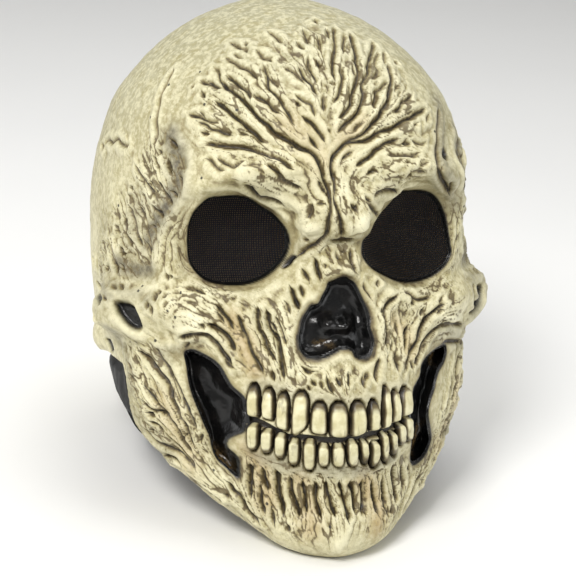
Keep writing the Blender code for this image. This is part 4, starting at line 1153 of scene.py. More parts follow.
# All the relief of the skin together
calm = smooth_step(opening / (3 * MM)) * (1 - bed)
cushion = CUSHION_RISE * (1 - np.exp(-((groove_distance / CUSHION_RADIUS) ** 2)))
cushion *= np.clip(1.6 * (1 - groove_distance / GROOVE_REACH), 0, 1)
fine = (value_noise(skin_points, 0.9 * MM, 21) - 0.5) * FINE_HEIGHT
fine = fine + (value_noise(skin_points, 5 * MM, 22) - 0.5) * 0.5 * MM
pores = np.clip(value_noise(skin_points, 1.6 * MM, 23) - 0.86, 0, 1) * 2.2 * MM
relief = raised + cushion - 0.60 * groove_depth - 0.70 * groove_soft + strand_height * strands * 3.0 + fine - pores
relief = relief * calm - pit_depth - bed * BED_DEPTH


def blurred(values, reach, times=2):
    """Values of the grid averaged over reach points each way."""
    field = values.reshape(ROWS, COLUMNS)
    for _ in range(times):
        for axis, mode in ((0, "edge"), (1, "wrap")):
            pad = [(0, 0), (0, 0)]
            pad[axis] = (reach + 1, reach)
            total = np.cumsum(np.pad(field, pad, mode=mode), axis=axis)
            width = 2 * reach + 1
            top = np.take(total, range(width, total.shape[axis]), axis=axis)
            low = np.take(total, range(0, total.shape[axis] - width), axis=axis)
            field = (top - low) / width
    return field.ravel()


relief_low = blurred(relief, 4)
cavity = relief_low - relief
above_floor = skin_points[:, 2] - floor_height(skin_points[:, 1])
relief = np.where(relief > 0, relief * smooth_step((above_floor - 0.5 * MM) / (9 * MM)), relief)
face_points = skin_points + skin_normals * relief[:, None]
face_points[:, 1] += rim_drop
under = floor_height(face_points[:, 1]) + 0.1 * MM - face_points[:, 2]
face_points[:, 2] += np.clip(under, 0, None)
skin = face_points.reshape(ROWS, COLUMNS, 3)
skin_normal = grid_normals(skin)

# What the paint follows: brown wash with painted shade in the hollows, painted shade and painted highlight, tints and
# black edges
shade = {"dark": np.zeros(len(skin_points)), "amber": np.zeros(len(skin_points)), "pale": np.zeros(len(skin_points))}
for channel, strength, radius, both_sides, text in SHADES:
    for curve in seen_curve(text, both_sides):
        index, distance, along, length = near_curve(curve, radius * MM * 1.8)
        soft = strength * np.exp(-((distance / (radius * MM)) ** 2))
        shade[channel][index] = np.maximum(shade[channel][index], soft)
# brown wash and painted shade around the openings
near_opening = np.exp(-np.clip(opening, 0, None) / (2.6 * MM)) * (opening < 0.03)
strands_here = np.clip(strand_height / (0.34 * MM), 0, 1)
# painted shade of the small pits, as dark spots
painted_pit_shade = np.zeros(len(skin_points))
for middle in seen_at(points_of(PITS)):
    apart = np.linalg.norm(skin_points - middle, axis=1)
    painted_pit_shade = np.maximum(painted_pit_shade, np.exp(-((apart / PIT_RADIUS) ** 2)))
# brown wash in the grooves, hollows and strand valleys, and on the bed of the teeth; where it follows the hollows of
# the relief it also paints their shade
hollow_wash_and_shade = 0.24 * smooth_step(groove_soft / (1.4 * MM)) + 0.55 * smooth_step((cavity - 0.02 * MM) / (0.75 * MM))
wash_and_shade = hollow_wash_and_shade + 0.36 * strand_valley * strands_here
wash_and_shade = np.clip(wash_and_shade + 0.40 * near_opening + 1.2 * bed, 0, 1)
black = np.maximum(smooth_step((0.35 * MM - opening) / (0.7 * MM)), pit_black)
# painted highlight on the raised rolls and ridges
painted_highlight = smooth_step(raised / (1.5 * MM)) * 0.5 + smooth_step(-cavity / (0.5 * MM)) * 0.6
PAINT = {
    "wash_and_shade": wash_and_shade,
    "line": np.maximum(groove_line, painted_pit_shade),
    "strand": np.clip(strand_valley * strands_here, 0, 1),
    "dark": shade["dark"],
    "amber": shade["amber"],
    "pale": np.clip(shade["pale"] + 0.55 * painted_highlight, 0, 1),
    "black": black,
    "bed": bed,
}


# Making the pieces
def make_piece(name, points, faces, paint=None, normals=None):
    """Mesh object in the part's frame, with painted values on its points."""
    mesh = bpy.data.meshes.new(name)
    mesh.vertices.add(len(points))
    mesh.vertices.foreach_set("co", np.ascontiguousarray(points, dtype=np.float32).ravel())
    sizes = np.array([len(face) for face in faces]) if isinstance(faces, list) else np.full(len(faces), faces.shape[1])
    corners = np.concatenate([np.asarray(face) for face in faces]) if isinstance(faces, list) else faces.ravel()
    mesh.loops.add(len(corners))
    mesh.loops.foreach_set("vertex_index", corners.astype(np.int32))
    mesh.polygons.add(len(sizes))
    mesh.polygons.foreach_set("loop_start", (np.cumsum(sizes) - sizes).astype(np.int32))
    mesh.polygons.foreach_set("loop_total", sizes.astype(np.int32))
    mesh.update(calc_edges=True)
    mesh.validate()
    for channel, values in (paint or {}).items():
        attribute = mesh.attributes.new(channel, "FLOAT", "POINT")
        attribute.data.foreach_set("value", np.ascontiguousarray(values, dtype=np.float32))
    mesh.transform(REST)
    mesh.polygons.foreach_set("use_smooth", np.ones(len(mesh.polygons), dtype=bool))
    if normals is not None:
        turned = normals @ np.array(REST.to_3x3()).T
        mesh.normals_split_custom_set_from_vertices(turned.astype(np.float32).tolist())
    piece = bpy.data.objects.new(name, mesh)
    bpy.context.collection.objects.link(piece)
    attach(piece, "root")
    return piece


def part_of(points, faces, *values):
    """The points that some faces use, with their values, and the faces by their new indices."""
    used = np.unique(faces)
    index = np.full(len(points), -1)
    index[used] = np.arange(len(used))
    return [points[used], index[faces]] + [value[used] for value in values]


def rest_matrix():
    """Leans the upright head back onto the floor, in the place that the frame's box gives."""
    lean = -math.atan(FLOOR_SLOPE)
    turn = Matrix.Rotation(lean, 4, "X")
    rotation = np.array(turn)[:3, :3]
    low_y = (skin_points @ rotation.T)[:, 1].min()
    height = -FLOOR_AT_MIDDLE * math.cos(lean)
    return Matrix.Translation((0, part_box("skull_skin")[0][1] - low_y, height)) @ turn


REST = rest_matrix()

# Skin in bands, each within the piece limit, with the normals of the whole
BANDS = 4
all_quads = grid_quads(ROWS, COLUMNS, True)
quad_row, quad_column = np.divmod(all_quads[:, 0], COLUMNS)
on_skin = (quad_row < CRANIUM_ROWS - 1) | ((quad_column >= JAW_FIRST) & (quad_column < JAW_LAST))
on_skin &= (opening[all_quads] > -RIM_IN).any(axis=1)
skin_quads = all_quads[on_skin]
skin_rows, skin_columns = quad_row[on_skin], quad_column[on_skin]
face_quads = skin_columns < FACE_COLUMNS - 1
band_ends = np.quantile(skin_rows[face_quads], np.linspace(0, 1, BANDS + 1)[1:-1])
band_of = np.where(face_quads, np.searchsorted(band_ends, skin_rows), BANDS)
skin_pieces = []
flat_skin = skin.reshape(-1, 3)
flat_normal = skin_normal.reshape(-1, 3)
BAND_NAMES = ("skin_crown", "skin_brow", "skin_cheek", "skin_jaw", "skin_back")
for band, name in enumerate(BAND_NAMES):
    values = list(PAINT.values())
    points, faces, normals, *painted = part_of(flat_skin, skin_quads[band_of == band], flat_normal, *values)
    skin_pieces.append(make_piece(name, points, faces, dict(zip(PAINT, painted)), normals))

# The inside of the latex, and its cut edges
INNER_STEP = 4
inner_rows = np.unique(np.concatenate((np.arange(0, ROWS, INNER_STEP), (CRANIUM_ROWS - 1, ROWS - 1))))
inner_columns = np.arange(0, COLUMNS, INNER_STEP)
inner_columns = np.unique(np.concatenate((inner_columns, (FACE_COLUMNS - 1, JAW_FIRST, JAW_LAST))))
inner_sunk = blurred(np.minimum(relief, 0), 3)
inner_all = skin_points + skin_normals * (inner_sunk - SKIN_WALL)[:, None]
inner_grid = inner_all.reshape(ROWS, COLUMNS, 3)[np.ix_(inner_rows, inner_columns)]
inner_quads = grid_quads(len(inner_rows), len(inner_columns), True)[:, ::-1]
first_row = inner_rows[inner_quads.min(axis=1) // len(inner_columns)]
first_column = inner_quads % len(inner_columns)
wraps = first_column.max(axis=1) - first_column.min(axis=1) > 2
start_column = inner_columns[np.where(wraps, len(inner_columns) - 1, first_column.min(axis=1))]
keep_inner = (first_row < CRANIUM_ROWS - 1) | ((start_column >= JAW_FIRST) & (start_column < JAW_LAST))
inner_opening = opening.reshape(ROWS, COLUMNS)[np.ix_(inner_rows, inner_columns)].ravel()
keep_inner &= (inner_opening[inner_quads] > 1.5 * MM).all(axis=1)
points, faces = part_of(inner_grid.reshape(-1, 3), inner_quads[keep_inner])
inner_face = make_piece("skin_inside", points, faces)

jaw_rows = np.arange(CRANIUM_ROWS - 1, ROWS) * COLUMNS
jaw_first, jaw_last = jaw_rows + JAW_FIRST, jaw_rows + JAW_LAST
bottom = (ROWS - 1) * COLUMNS + np.arange(JAW_FIRST, JAW_LAST + 1)
hem = (CRANIUM_ROWS - 1) * COLUMNS + np.arange(JAW_LAST, COLUMNS + JAW_FIRST + 1) % COLUMNS
edge = np.concatenate((hem, jaw_first[1:], bottom[1:], jaw_last[::-1][1:]))
outer_edge, inner_edge = flat_skin[edge], inner_all[edge]
rim_middle = 0.5 * (outer_edge + inner_edge)
outward = unit_vectors(np.cross(unit_vectors(np.roll(outer_edge, -1, axis=0) - outer_edge), flat_normal[edge]))
rim_rows = np.stack((outer_edge, rim_middle - outward * 0.5 * MM, inner_edge))
count = len(edge)
rim_faces = []
for row in range(2):
    start = np.arange(count - 1)
    rim_faces.append(np.stack((row * count + start, row * count + start + 1, (row + 1) * count + start + 1,
                               (row + 1) * count + start), -1))
rim = make_piece("skin_edge", rim_rows.reshape(-1, 3), np.concatenate(rim_faces))

# Black linings of the nose and the cheek hollows: the skin's own form, pushed in
LINING_START = 1.6 * MM
NOSE_BULBS = ((332, 327, 5.0), (349, 328, 3.8))


# Brown wear on the linings: strength, radius in mm, points as pixels
WEAR_NOSE = ((0.5, 1.6, "321,346 328,344.5 335,347"),)
WEAR_LEFT = ((0.8, 3.0, "198,412 204,428 211,446 219,460 231,470"), (0.9, 3.0, "213,446 222,458 231,468"))
WEAR_RIGHT = ((0.8, 2.2, "425,430 422,442 418,455"), (0.7, 2.0, "437,365 440,354 444,344"))


def lining(name, distance, depth, ramp, tints, bumps=()):
    """Glossy lining behind an opening."""
    inside = (distance[all_quads] < 1.6 * MM).any(axis=1)
    sunk = LINING_START + (depth - LINING_START) * (1 - (1 - np.clip(-distance / ramp, 0, 1)) ** 2)
    sunk += (value_noise(skin_points, 6 * MM, 31) - 0.5) * 1.6 * MM * np.clip(-distance / (3 * MM), 0, 1)
    sunk += (value_noise(skin_points * np.array((1, 1, 0.35)), 2.6 * MM, 32) - 0.5) * 0.6 * MM * np.clip(
        -distance / (3 * MM), 0, 1
    )
    for x, y, radius in bumps:
        apart = np.linalg.norm(skin_pixels - (x, y), axis=1) * PIXEL / (radius * MM)
        sunk -= 4.5 * MM * np.exp(-(apart**2))
    base = skin_points + skin_normals * blurred(raised * calm, 2)[:, None]
    moved = base + np.array((0, 1, 0)) * sunk[:, None]
    tint = np.zeros(len(skin_points))
    for strength, radius, text in tints:
        for curve in seen_curve(text):
            index, apart, _, _ = near_curve(curve, 2 * radius * MM)
            tint[index] = np.maximum(tint[index], strength * np.exp(-((apart / (radius * MM)) ** 2)))
    points, faces, worn = part_of(moved, all_quads[inside], tint)
    return make_piece(name, points, faces, {"tint": worn})


nose_lining = lining("nose_lining_form", nose_hole, NOSE_DEPTH, 6.5 * MM, WEAR_NOSE, NOSE_BULBS)
cheek_lining_left = lining("cheek_lining_form_a", cheek_left, HOLLOW_DEPTH, 7.5 * MM, WEAR_LEFT)
cheek_lining_right = lining("cheek_lining_form_b", cheek_right, HOLLOW_DEPTH, 5.0 * MM, WEAR_RIGHT)

# Woven screens of the eyes
THREAD_PITCH = 1.10 * MM
THREAD_WIDTH = 0.56 * MM
THREAD_WAVE = 0.16 * MM
SCREEN_DEPTH = 2.2 * MM
SCREEN_MARGIN = 1.4 * MM
SEGMENTS = 2


def front_tree():
    """Tree of the smooth skin for depths along Y."""
    rows, columns = np.arange(0, ROWS, 2), np.arange(0, FACE_COLUMNS, 2)
    points = smooth_skin[np.ix_(rows, columns)]
    return BVHTree.FromPolygons(points.reshape(-1, 3).tolist(), grid_quads(len(rows), len(columns)).tolist())


FRONT_TREE = front_tree()


def depth_map(low, high, step):
    """Depth of the smooth skin from the front over a rectangle of x and z."""
    xs, zs = np.arange(low[0], high[0] + step, step), np.arange(low[1], high[1] + step, step)
    depths = np.zeros((len(zs), len(xs)))
    for row, z in enumerate(zs):
        for column, x in enumerate(xs):
            hit = FRONT_TREE.ray_cast(Vector((x, -0.3, z)), Vector((0, 1, 0)))[0]
            depths[row, column] = hit.y if hit else 0.0
    return xs, zs, depths


def depth_at(field, x, z):
    """Depth at points, from a depth map."""
    xs, zs, depths = field
    column = np.clip((x - xs[0]) / (xs[1] - xs[0]), 0, len(xs) - 1.001)
    row = np.clip((z - zs[0]) / (zs[1] - zs[0]), 0, len(zs) - 1.001)
    left, top = column.astype(int), row.astype(int)
    right, down = column - left, row - top
    upper = depths[top, left] * (1 - right) + depths[top, left + 1] * right
    lower = depths[top + 1, left] * (1 - right) + depths[top + 1, left + 1] * right
    return upper * (1 - down) + lower * down


def screen(name, outline):
    """Open weave of flat threads, cut to the opening and a little more."""
    curve = seen_at(closed_curve(points_of(outline), 90))[:, (0, 2)]
    middle = curve.mean(axis=0)
    curve = middle + (curve - middle) * (1 + SCREEN_MARGIN / np.linalg.norm(curve - middle, axis=1)[:, None])
    low, high = curve.min(axis=0), curve.max(axis=0)
    field = depth_map(low - 2 * MM, high + 2 * MM, 2.5 * MM)
    points, faces = [], []
    step = THREAD_PITCH / SEGMENTS
    for way in (0, 1):
        other = 1 - way
        for number, across in enumerate(np.arange(low[other] + THREAD_PITCH / 2, high[other], THREAD_PITCH)):
            along = np.arange(low[way], high[way] + step, step)
            at = np.zeros((len(along), 2))
            at[:, way], at[:, other] = along, across
            inside = polygon_distance(at, curve) < 0
            phase = along / THREAD_PITCH * math.pi + number * math.pi + way * math.pi
            height = np.cos(phase) * THREAD_WAVE
            rows = []
            for offset, lift in ((-0.5, -0.10), (0.0, 0.12), (0.5, -0.10)):
                moved = at.copy()
                moved[:, other] += offset * THREAD_WIDTH
                y = depth_at(field, moved[:, 0], moved[:, 1]) + SCREEN_DEPTH - height - lift * THREAD_WIDTH
                rows.append(np.stack((moved[:, 0], y, moved[:, 1]), -1))
            strip = np.stack(rows)
            base = sum(len(block) for block in points)
            points.append(strip.reshape(-1, 3))
            size = len(along)
            run = np.nonzero(inside[:-1] & inside[1:])[0]
            for row in (0, 1):
                corner = base + row * size + run
                faces.append(np.stack((corner, corner + 1, corner + size + 1, corner + size), -1))
    points, faces = part_of(np.concatenate(points), np.concatenate(faces))
    piece = make_piece(name, points, faces)
    size = high - low
    area = 0.5 * abs(np.dot(curve[:, 0], np.roll(curve[:, 1], 1)) - np.dot(curve[:, 1], np.roll(curve[:, 0], 1)))
    return piece, size, area


screen_left, screen_left_size, screen_left_area = screen("eye_screen_form_a", EYE_LEFT)
screen_right, screen_right_size, screen_right_area = screen("eye_screen_form_b", EYE_RIGHT)

# Teeth
CROWN_RISE = 2.4 * MM
TOOTH_ACROSS = 17
TOOTH_DOWN = 25


def tooth(row, seed):
    """Points and painted values of one tooth, from its place in the photograph."""
    left, right, socket, crown, edge_left, edge_right, lean = row
    across = np.linspace(-1, 1, TOOTH_ACROSS)
    down = np.linspace(0, 1, TOOTH_DOWN)
    crown_share = (crown - socket) / (0.5 * (edge_left + edge_right) - socket)
    middle, half = 0.5 * (left + right), 0.5 * (right - left)
    pixels, heights, washes = [], [], []
    for share in down:
        belly = tooth_width(share)
        stations = (0, crown_share * 0.6, crown_share * 1.25, 0.6, 0.9, 1)
        rise_root = np.interp(share, stations, (0.1, 0.6, 1.0, 1.15, 0.95, 0.45))
        for side in across:
            edge = edge_left + (edge_right - edge_left) * (side + 1) / 2
            bottom = edge - np.sign(edge - socket) * (abs(side) ** 3 * 1.6)
            x = middle + side * half * belly + tooth_lean(share, lean)
            y = socket + (bottom - socket) * share
            wall = (1 - abs(side) ** 4) ** 0.5
            tip = min(1.0, (1 - share) / 0.06) ** 0.5 if share > 0.94 else 1.0
            start = min(1.0, share / 0.08)
            height = CROWN_RISE * rise_root * (0.25 + 0.75 * wall) * tip * start
            pixels.append((x, y))
            heights.append(height - BED_DEPTH * 0.9 * (1 - wall * min(1.0, tip) * start) * 0.9)
            # brown wash that also paints shade: darker at each tooth's sides, towards its root and at its tip
            washes.append(np.clip(1.30 * abs(side) ** 4 + 1.05 * max(0, 1 - share / max(crown_share * 2.0, 0.05)) ** 1.1
                                  + 0.25 * (share > 0.93), 0, 1))
    heights = np.array(heights)
    washes = np.array(washes)
    base, normals = [], []
    for pixel in pixels:
        hit, normal, _, _ = SKIN_TREE.ray_cast(SIGHT_START, Vector(ray_through(pixel)))
        base.append(tuple(hit))
        normals.append(tuple(normal))
    base, normals = np.array(base), np.array(normals)
    normals *= np.sign((normals * VIEW_BACK).sum(axis=1))[:, None]
    main = unit_vectors(normals.mean(axis=0) * 0.7 + normals * 0.3)
    uneven = (value_noise(base, 3.0 * MM, 40 + seed) - 0.5) * 0.5 * MM
    uneven = uneven + (value_noise(base, 1.1 * MM, 60 + seed) - 0.5) * 0.22 * MM
    points = base + main * (heights + uneven)[:, None]
    return points, washes


def teeth(name, rows, seed):
    """One row of teeth as one piece."""
    points, washes, faces = [], [], []
    quads = grid_quads(TOOTH_DOWN, TOOTH_ACROSS)
    for number, row in enumerate(rows):
        at, wash_values = tooth(row, seed + number)
        corners = at.reshape(TOOTH_DOWN, TOOTH_ACROSS, 3)
        facing = np.cross(corners[1, 0] - corners[0, 0], corners[0, 1] - corners[0, 0])
        faces.append((quads if facing @ VIEW_BACK > 0 else quads[:, ::-1]) + len(points) * len(at))
        points.append(at)
        washes.append(wash_values)
    return make_piece(name, np.concatenate(points), np.concatenate(faces), {"wash_and_shade": np.concatenate(washes)})


upper_teeth = teeth("upper_teeth_form", UPPER_TEETH, 0)
lower_teeth = teeth("lower_teeth_form", LOWER_TEETH, 20)


LIGHT_FROM = (
    # name, place from the middle of the head, size, power, tint
    ("key", (-0.80, -0.95, 1.25), 0.55, 26.0, (1.0, 0.985, 0.96)),
    ("fill", (1.25, -1.0, 0.35), 1.0, 7.0, (0.97, 0.985, 1.0)),
    ("top", (0.30, 0.15, 1.4), 0.9, 9.0, (1.0, 1.0, 1.0)),
    ("rim", (-1.2, 0.5, 0.5), 0.8, 4.0, (1.0, 1.0, 1.0)),
)


# The black neck
NECK_WALL = 2.0 * MM
NECK_SWELL = 6.0 * MM
NECK_SWELL_TURN = math.radians(16)


def neck():
    """Thin black sleeve under the skull: down to the floor behind, and in behind the jaw's edges."""
    turn = np.linspace(RAMUS_EDGE - 0.05, 2 * math.pi - RAMUS_EDGE + 0.05, 340)
    down = np.linspace(-0.06, 1, 80)[:, None]
    outer = neck_point(turn, CRANIUM_END + NECK_SECTIONS * np.maximum(down, 0))
    top = neck_point(turn, np.full_like(turn, CRANIUM_END))[:, 2]
    around = np.clip((np.abs(turn - math.pi) - HEM_FLAT_TURN) / HEM_RISE_TURN, 0, 1)
    rise = around**2 * (3 - 2 * around)
    hem = floor_height(outer[-1, :, 1]) + (HEM_SIDE_HEIGHT - HEM_BACK_HEIGHT) * rise
    outer[..., 2] = top + (hem - top) * down
    sideways = np.gradient(outer, axis=1)
    outward = unit_vectors(np.stack((sideways[..., 1], -sideways[..., 0], np.zeros_like(outer[..., 0])), -1))
    flat = outer.reshape(-1, 3)
    beside = np.clip((math.pi - RAMUS_EDGE - np.abs(turn - math.pi)) / NECK_SWELL_TURN, 0, 1)
    swelling = smooth_step(beside) * smooth_step((1.5 - beside) / 0.5)
    swelling = swelling * smooth_step(np.clip(down, 0, 1) / 0.25) * NECK_SWELL
    folds = (value_noise(flat * np.array((1, 1, 0.45)), 13 * MM, 51) - 0.5) * 2.6 * MM
    folds += (value_noise(flat * np.array((1, 1, 0.5)), 4.5 * MM, 52) - 0.5) * 0.9 * MM
    soft = smooth_step(np.clip(down, 0, 1) / 0.15) * smooth_step((1 - down) / 0.12 + 0.15)
    outer += outward * (folds.reshape(outer.shape[:2]) * soft + swelling)[..., None]
    inner = outer - outward * NECK_WALL
    rows, columns = outer.shape[:2]
    points = np.concatenate((outer.reshape(-1, 3), inner.reshape(-1, 3)))
    points[:, 2] = np.maximum(points[:, 2], floor_height(points[:, 1]))
    quads = grid_quads(rows, columns)
    shift = rows * columns
    hem_start = (rows - 1) * columns + np.arange(columns - 1)
    hem_faces = np.stack((hem_start, hem_start + shift, hem_start + 1 + shift, hem_start + 1), -1)
    side_start = np.arange(rows - 1) * columns
    side_faces = []
    for column in (0, columns - 1):
        corner = side_start + column
        faces = np.stack((corner, corner + shift, corner + columns + shift, corner + columns), -1)
        side_faces.append(faces if column == 0 else faces[:, ::-1])
    faces = np.concatenate((quads, quads[:, ::-1] + shift, hem_faces[:, ::-1], *side_faces))
    return make_piece("neck_form", points, faces)


neck_piece = neck()


# Materials
def new_material(name):
    """Empty node material with its Principled shader."""
    material = bpy.data.materials.new(name)
    material.use_nodes = True
    tree = material.node_tree
    return material, tree, tree.nodes["Principled BSDF"]


def add_node(tree, kind, settings=None, **values):
    """Node with its settings and the values of its inputs."""
    node = tree.nodes.new(kind)
    for key, value in (settings or {}).items():
        setattr(node, key, value)
    for key, value in values.items():
        node.inputs[key.replace("_", " ")].default_value = value
    return node


def attribute(tree, name):
    """Painted values of a piece."""
    return add_node(tree, "ShaderNodeAttribute", {"attribute_name": name}).outputs["Fac"]


def noise_of(tree, scale, detail=3.0, roughness=0.55, stretch=None):
    """Noise in the part's own space."""
    place = add_node(tree, "ShaderNodeTexCoord").outputs["Object"]
    if stretch:
        mapping = add_node(tree, "ShaderNodeMapping")
        mapping.inputs["Scale"].default_value = stretch
        tree.links.new(place, mapping.inputs["Vector"])
        place = mapping.outputs["Vector"]
    node = add_node(tree, "ShaderNodeTexNoise", None, Scale=scale, Detail=detail, Roughness=roughness)
    tree.links.new(place, node.inputs["Vector"])
    return node.outputs["Fac"]


def math_of(tree, operation, first, second, clamp=False):
    """One step of arithmetic; either side is a socket or a number."""
    node = add_node(tree, "ShaderNodeMath", {"operation": operation, "use_clamp": clamp})
    for slot, value in enumerate((first, second)):
        if isinstance(value, (int, float)):
            node.inputs[slot].default_value = value
        else:
            tree.links.new(value, node.inputs[slot])
    return node.outputs[0]


def ramp_of(tree, value, low, high):
    """0 below low, 1 above high."""
    node = add_node(tree, "ShaderNodeMapRange", {"interpolation_type": "SMOOTHSTEP"})
    node.inputs["From Min"].default_value = low
    node.inputs["From Max"].default_value = high
    tree.links.new(value, node.inputs["Value"])
    return node.outputs["Result"]


def mixed(tree, share, first, second):
    """Colour between two, each a socket or a colour."""
    node = add_node(tree, "ShaderNodeMix", {"data_type": "RGBA"})
    if isinstance(share, (int, float)):
        node.inputs["Factor"].default_value = share
    else:
        tree.links.new(share, node.inputs["Factor"])
    for slot, value in (("A", first), ("B", second)):
        socket = next(item for item in node.inputs if item.name == slot and item.type == "RGBA")
        if isinstance(value, tuple):
            socket.default_value = (*value, 1)
        else:
            tree.links.new(value, socket)
    return next(item for item in node.outputs if item.type == "RGBA")


def bump_of(tree, height, strength, distance, under=None):
    """Fine relief on the shading."""
    node = add_node(tree, "ShaderNodeBump", None, Strength=strength, Distance=distance)
    tree.links.new(height, node.inputs["Height"])
    if under:
        tree.links.new(under, node.inputs["Normal"])
    return node.outputs["Normal"]


def bone_material():
    """Cream painted latex with olive and brown in its hollows, which also paints their shade, and with painted shade
    and painted highlight.
    """
    material, tree, shader = new_material("bone_latex_painted")
    broad = noise_of(tree, 26, 4)
    blotch = noise_of(tree, 95, 6, 0.62)
    mottle = noise_of(tree, 330, 5, 0.65)
    grain = noise_of(tree, 620, 4, 0.6)
    speck = noise_of(tree, 1300, 3, 0.6)
    # greyer towards the crown and the back of the head
    dome = add_node(tree, "ShaderNodeSeparateXYZ")
    tree.links.new(add_node(tree, "ShaderNodeTexCoord").outputs["Object"], dome.inputs[0])
    high = math_of(tree, "ADD", dome.outputs["Z"], math_of(tree, "MULTIPLY", dome.outputs["Y"], 0.55))
    greyed = ramp_of(tree, high, 0.120, 0.270)
    colour = mixed(tree, ramp_of(tree, broad, 0.35, 0.65), BONE["cream"], BONE["straw"])
    colour = mixed(tree, math_of(tree, "MULTIPLY", greyed, 0.78), colour, BONE["grey"])
    colour = mixed(tree, math_of(tree, "MULTIPLY", ramp_of(tree, blotch, 0.44, 0.68), 0.66), colour, BONE["olive"])
    colour = mixed(tree, math_of(tree, "MULTIPLY", ramp_of(tree, mottle, 0.56, 0.40), 0.42), colour, BONE["pale"])
    colour = mixed(tree, math_of(tree, "MULTIPLY", ramp_of(tree, mottle, 0.52, 0.70), 0.45), colour, BONE["olive"])
    # painted highlight on the tops of the forms
    colour = mixed(tree, attribute(tree, "pale"), colour, BONE["pale"])
    colour = mixed(tree, math_of(tree, "MULTIPLY", attribute(tree, "amber"), 0.9, True), colour, BONE["amber"])
    # painted shade along the dark marks
    shaded = math_of(tree, "MULTIPLY", attribute(tree, "dark"), math_of(tree, "ADD", mottle, 0.45), True)
    colour = mixed(tree, shaded, colour, BONE["shade"])
    # brown wash in the hollows, darkest in the deepest, which also paints their shade
    patchy = math_of(tree, "ADD", math_of(tree, "MULTIPLY", mottle, 0.9), 0.55)
    hollow_wash_and_shade = math_of(tree, "MULTIPLY", attribute(tree, "wash_and_shade"), patchy, True)
    colour = mixed(tree, math_of(tree, "MULTIPLY", ramp_of(tree, hollow_wash_and_shade, 0.03, 0.40), 0.70), colour, BONE["hollow_wash_and_shade"])
    colour = mixed(tree, math_of(tree, "MULTIPLY", ramp_of(tree, hollow_wash_and_shade, 0.28, 0.75), 0.85), colour, BONE["wash_and_shade"])
    colour = mixed(tree, ramp_of(tree, hollow_wash_and_shade, 0.60, 1.0), colour, BONE["crack"])
    wavering = math_of(tree, "MULTIPLY", math_of(tree, "SUBTRACT", mottle, 0.5), 0.30)
    cracks = ramp_of(tree, math_of(tree, "ADD", attribute(tree, "line"), wavering), 0.42, 0.62)
    strands_lines = ramp_of(tree, math_of(tree, "ADD", attribute(tree, "strand"), wavering), 0.22, 0.58)
    colour = mixed(tree, math_of(tree, "MULTIPLY", strands_lines, 0.80), colour, BONE["wash_and_shade"])
    colour = mixed(tree, math_of(tree, "MULTIPLY", cracks, 0.90), colour, BONE["crack"])
    flecks = math_of(tree, "MULTIPLY", ramp_of(tree, speck, 0.60, 0.72), 0.45)
    colour = mixed(tree, flecks, colour, BONE["wash_and_shade"])
    colour = mixed(tree, attribute(tree, "black"), colour, BONE["black"])
    tree.links.new(colour, shader.inputs["Base Color"])
    rough = math_of(tree, "ADD", math_of(tree, "MULTIPLY", grain, 0.18), 0.36)
    gloss = math_of(tree, "MULTIPLY", attribute(tree, "black"), -0.24)
    tree.links.new(math_of(tree, "ADD", rough, gloss, True), shader.inputs["Roughness"])
    shader.inputs["Specular IOR Level"].default_value = 0.45
    coarse_bump = bump_of(tree, mottle, 0.45, 0.0010)
    tree.links.new(bump_of(tree, grain, 0.40, 0.0006, coarse_bump), shader.inputs["Normal"])
    return material


def black_material():
    """Glossy black painted latex, worn a little brown on its bumps."""
    material, tree, shader = new_material("black_latex_painted")
    folds = noise_of(tree, 120, 3)
    grain = noise_of(tree, 600, 3)
    colour = mixed(tree, ramp_of(tree, folds, 0.45, 0.75), (0.0030, 0.0030, 0.0030), (0.0075, 0.0065, 0.0060))
    worn = math_of(tree, "MULTIPLY", attribute(tree, "tint"), ramp_of(tree, grain, 0.30, 0.62), True)
    colour = mixed(tree, worn, colour, (0.115, 0.072, 0.026))
    tree.links.new(colour, shader.inputs["Base Color"])
    tree.links.new(math_of(tree, "ADD", math_of(tree, "MULTIPLY", grain, 0.16), 0.14), shader.inputs["Roughness"])
    shader.inputs["Specular IOR Level"].default_value = 0.38
    bumped = bump_of(tree, folds, 0.35, 0.0016)
    tree.links.new(bump_of(tree, grain, 0.25, 0.0005, bumped), shader.inputs["Normal"])
    return material


def neck_material():
    """Matter black latex of the neck."""
    material, tree, shader = new_material("black_latex_neck")
    folds = noise_of(tree, 90, 3)
    grain = noise_of(tree, 500, 3)
    colour = mixed(tree, ramp_of(tree, folds, 0.45, 0.75), (0.0030, 0.0030, 0.0030), (0.0065, 0.0060, 0.0055))
    tree.links.new(colour, shader.inputs["Base Color"])
    tree.links.new(math_of(tree, "ADD", math_of(tree, "MULTIPLY", grain, 0.2), 0.42), shader.inputs["Roughness"])
    shader.inputs["Specular IOR Level"].default_value = 0.22
    tree.links.new(bump_of(tree, folds, 0.35, 0.0016), shader.inputs["Normal"])
    return material


def screen_material():
    """Black threads, a little brown where they are worn."""
    material, tree, shader = new_material("screen_cloth_woven")
    fibre = noise_of(tree, 1800, 2)
    worn = noise_of(tree, 90, 3)
    colour = mixed(tree, ramp_of(tree, fibre, 0.35, 0.7), (0.0020, 0.0018, 0.0018), (0.008, 0.0065, 0.006))
    worn = math_of(tree, "MULTIPLY", ramp_of(tree, worn, 0.5, 0.75), 0.4)
    colour = mixed(tree, worn, colour, (0.012, 0.010, 0.009))
    tree.links.new(colour, shader.inputs["Base Color"])
    tree.links.new(math_of(tree, "ADD", math_of(tree, "MULTIPLY", fibre, 0.2), 0.62), shader.inputs["Roughness"])
    shader.inputs["Specular IOR Level"].default_value = 0.18
    tree.links.new(bump_of(tree, fibre, 0.4, 0.0002), shader.inputs["Normal"])
    return material


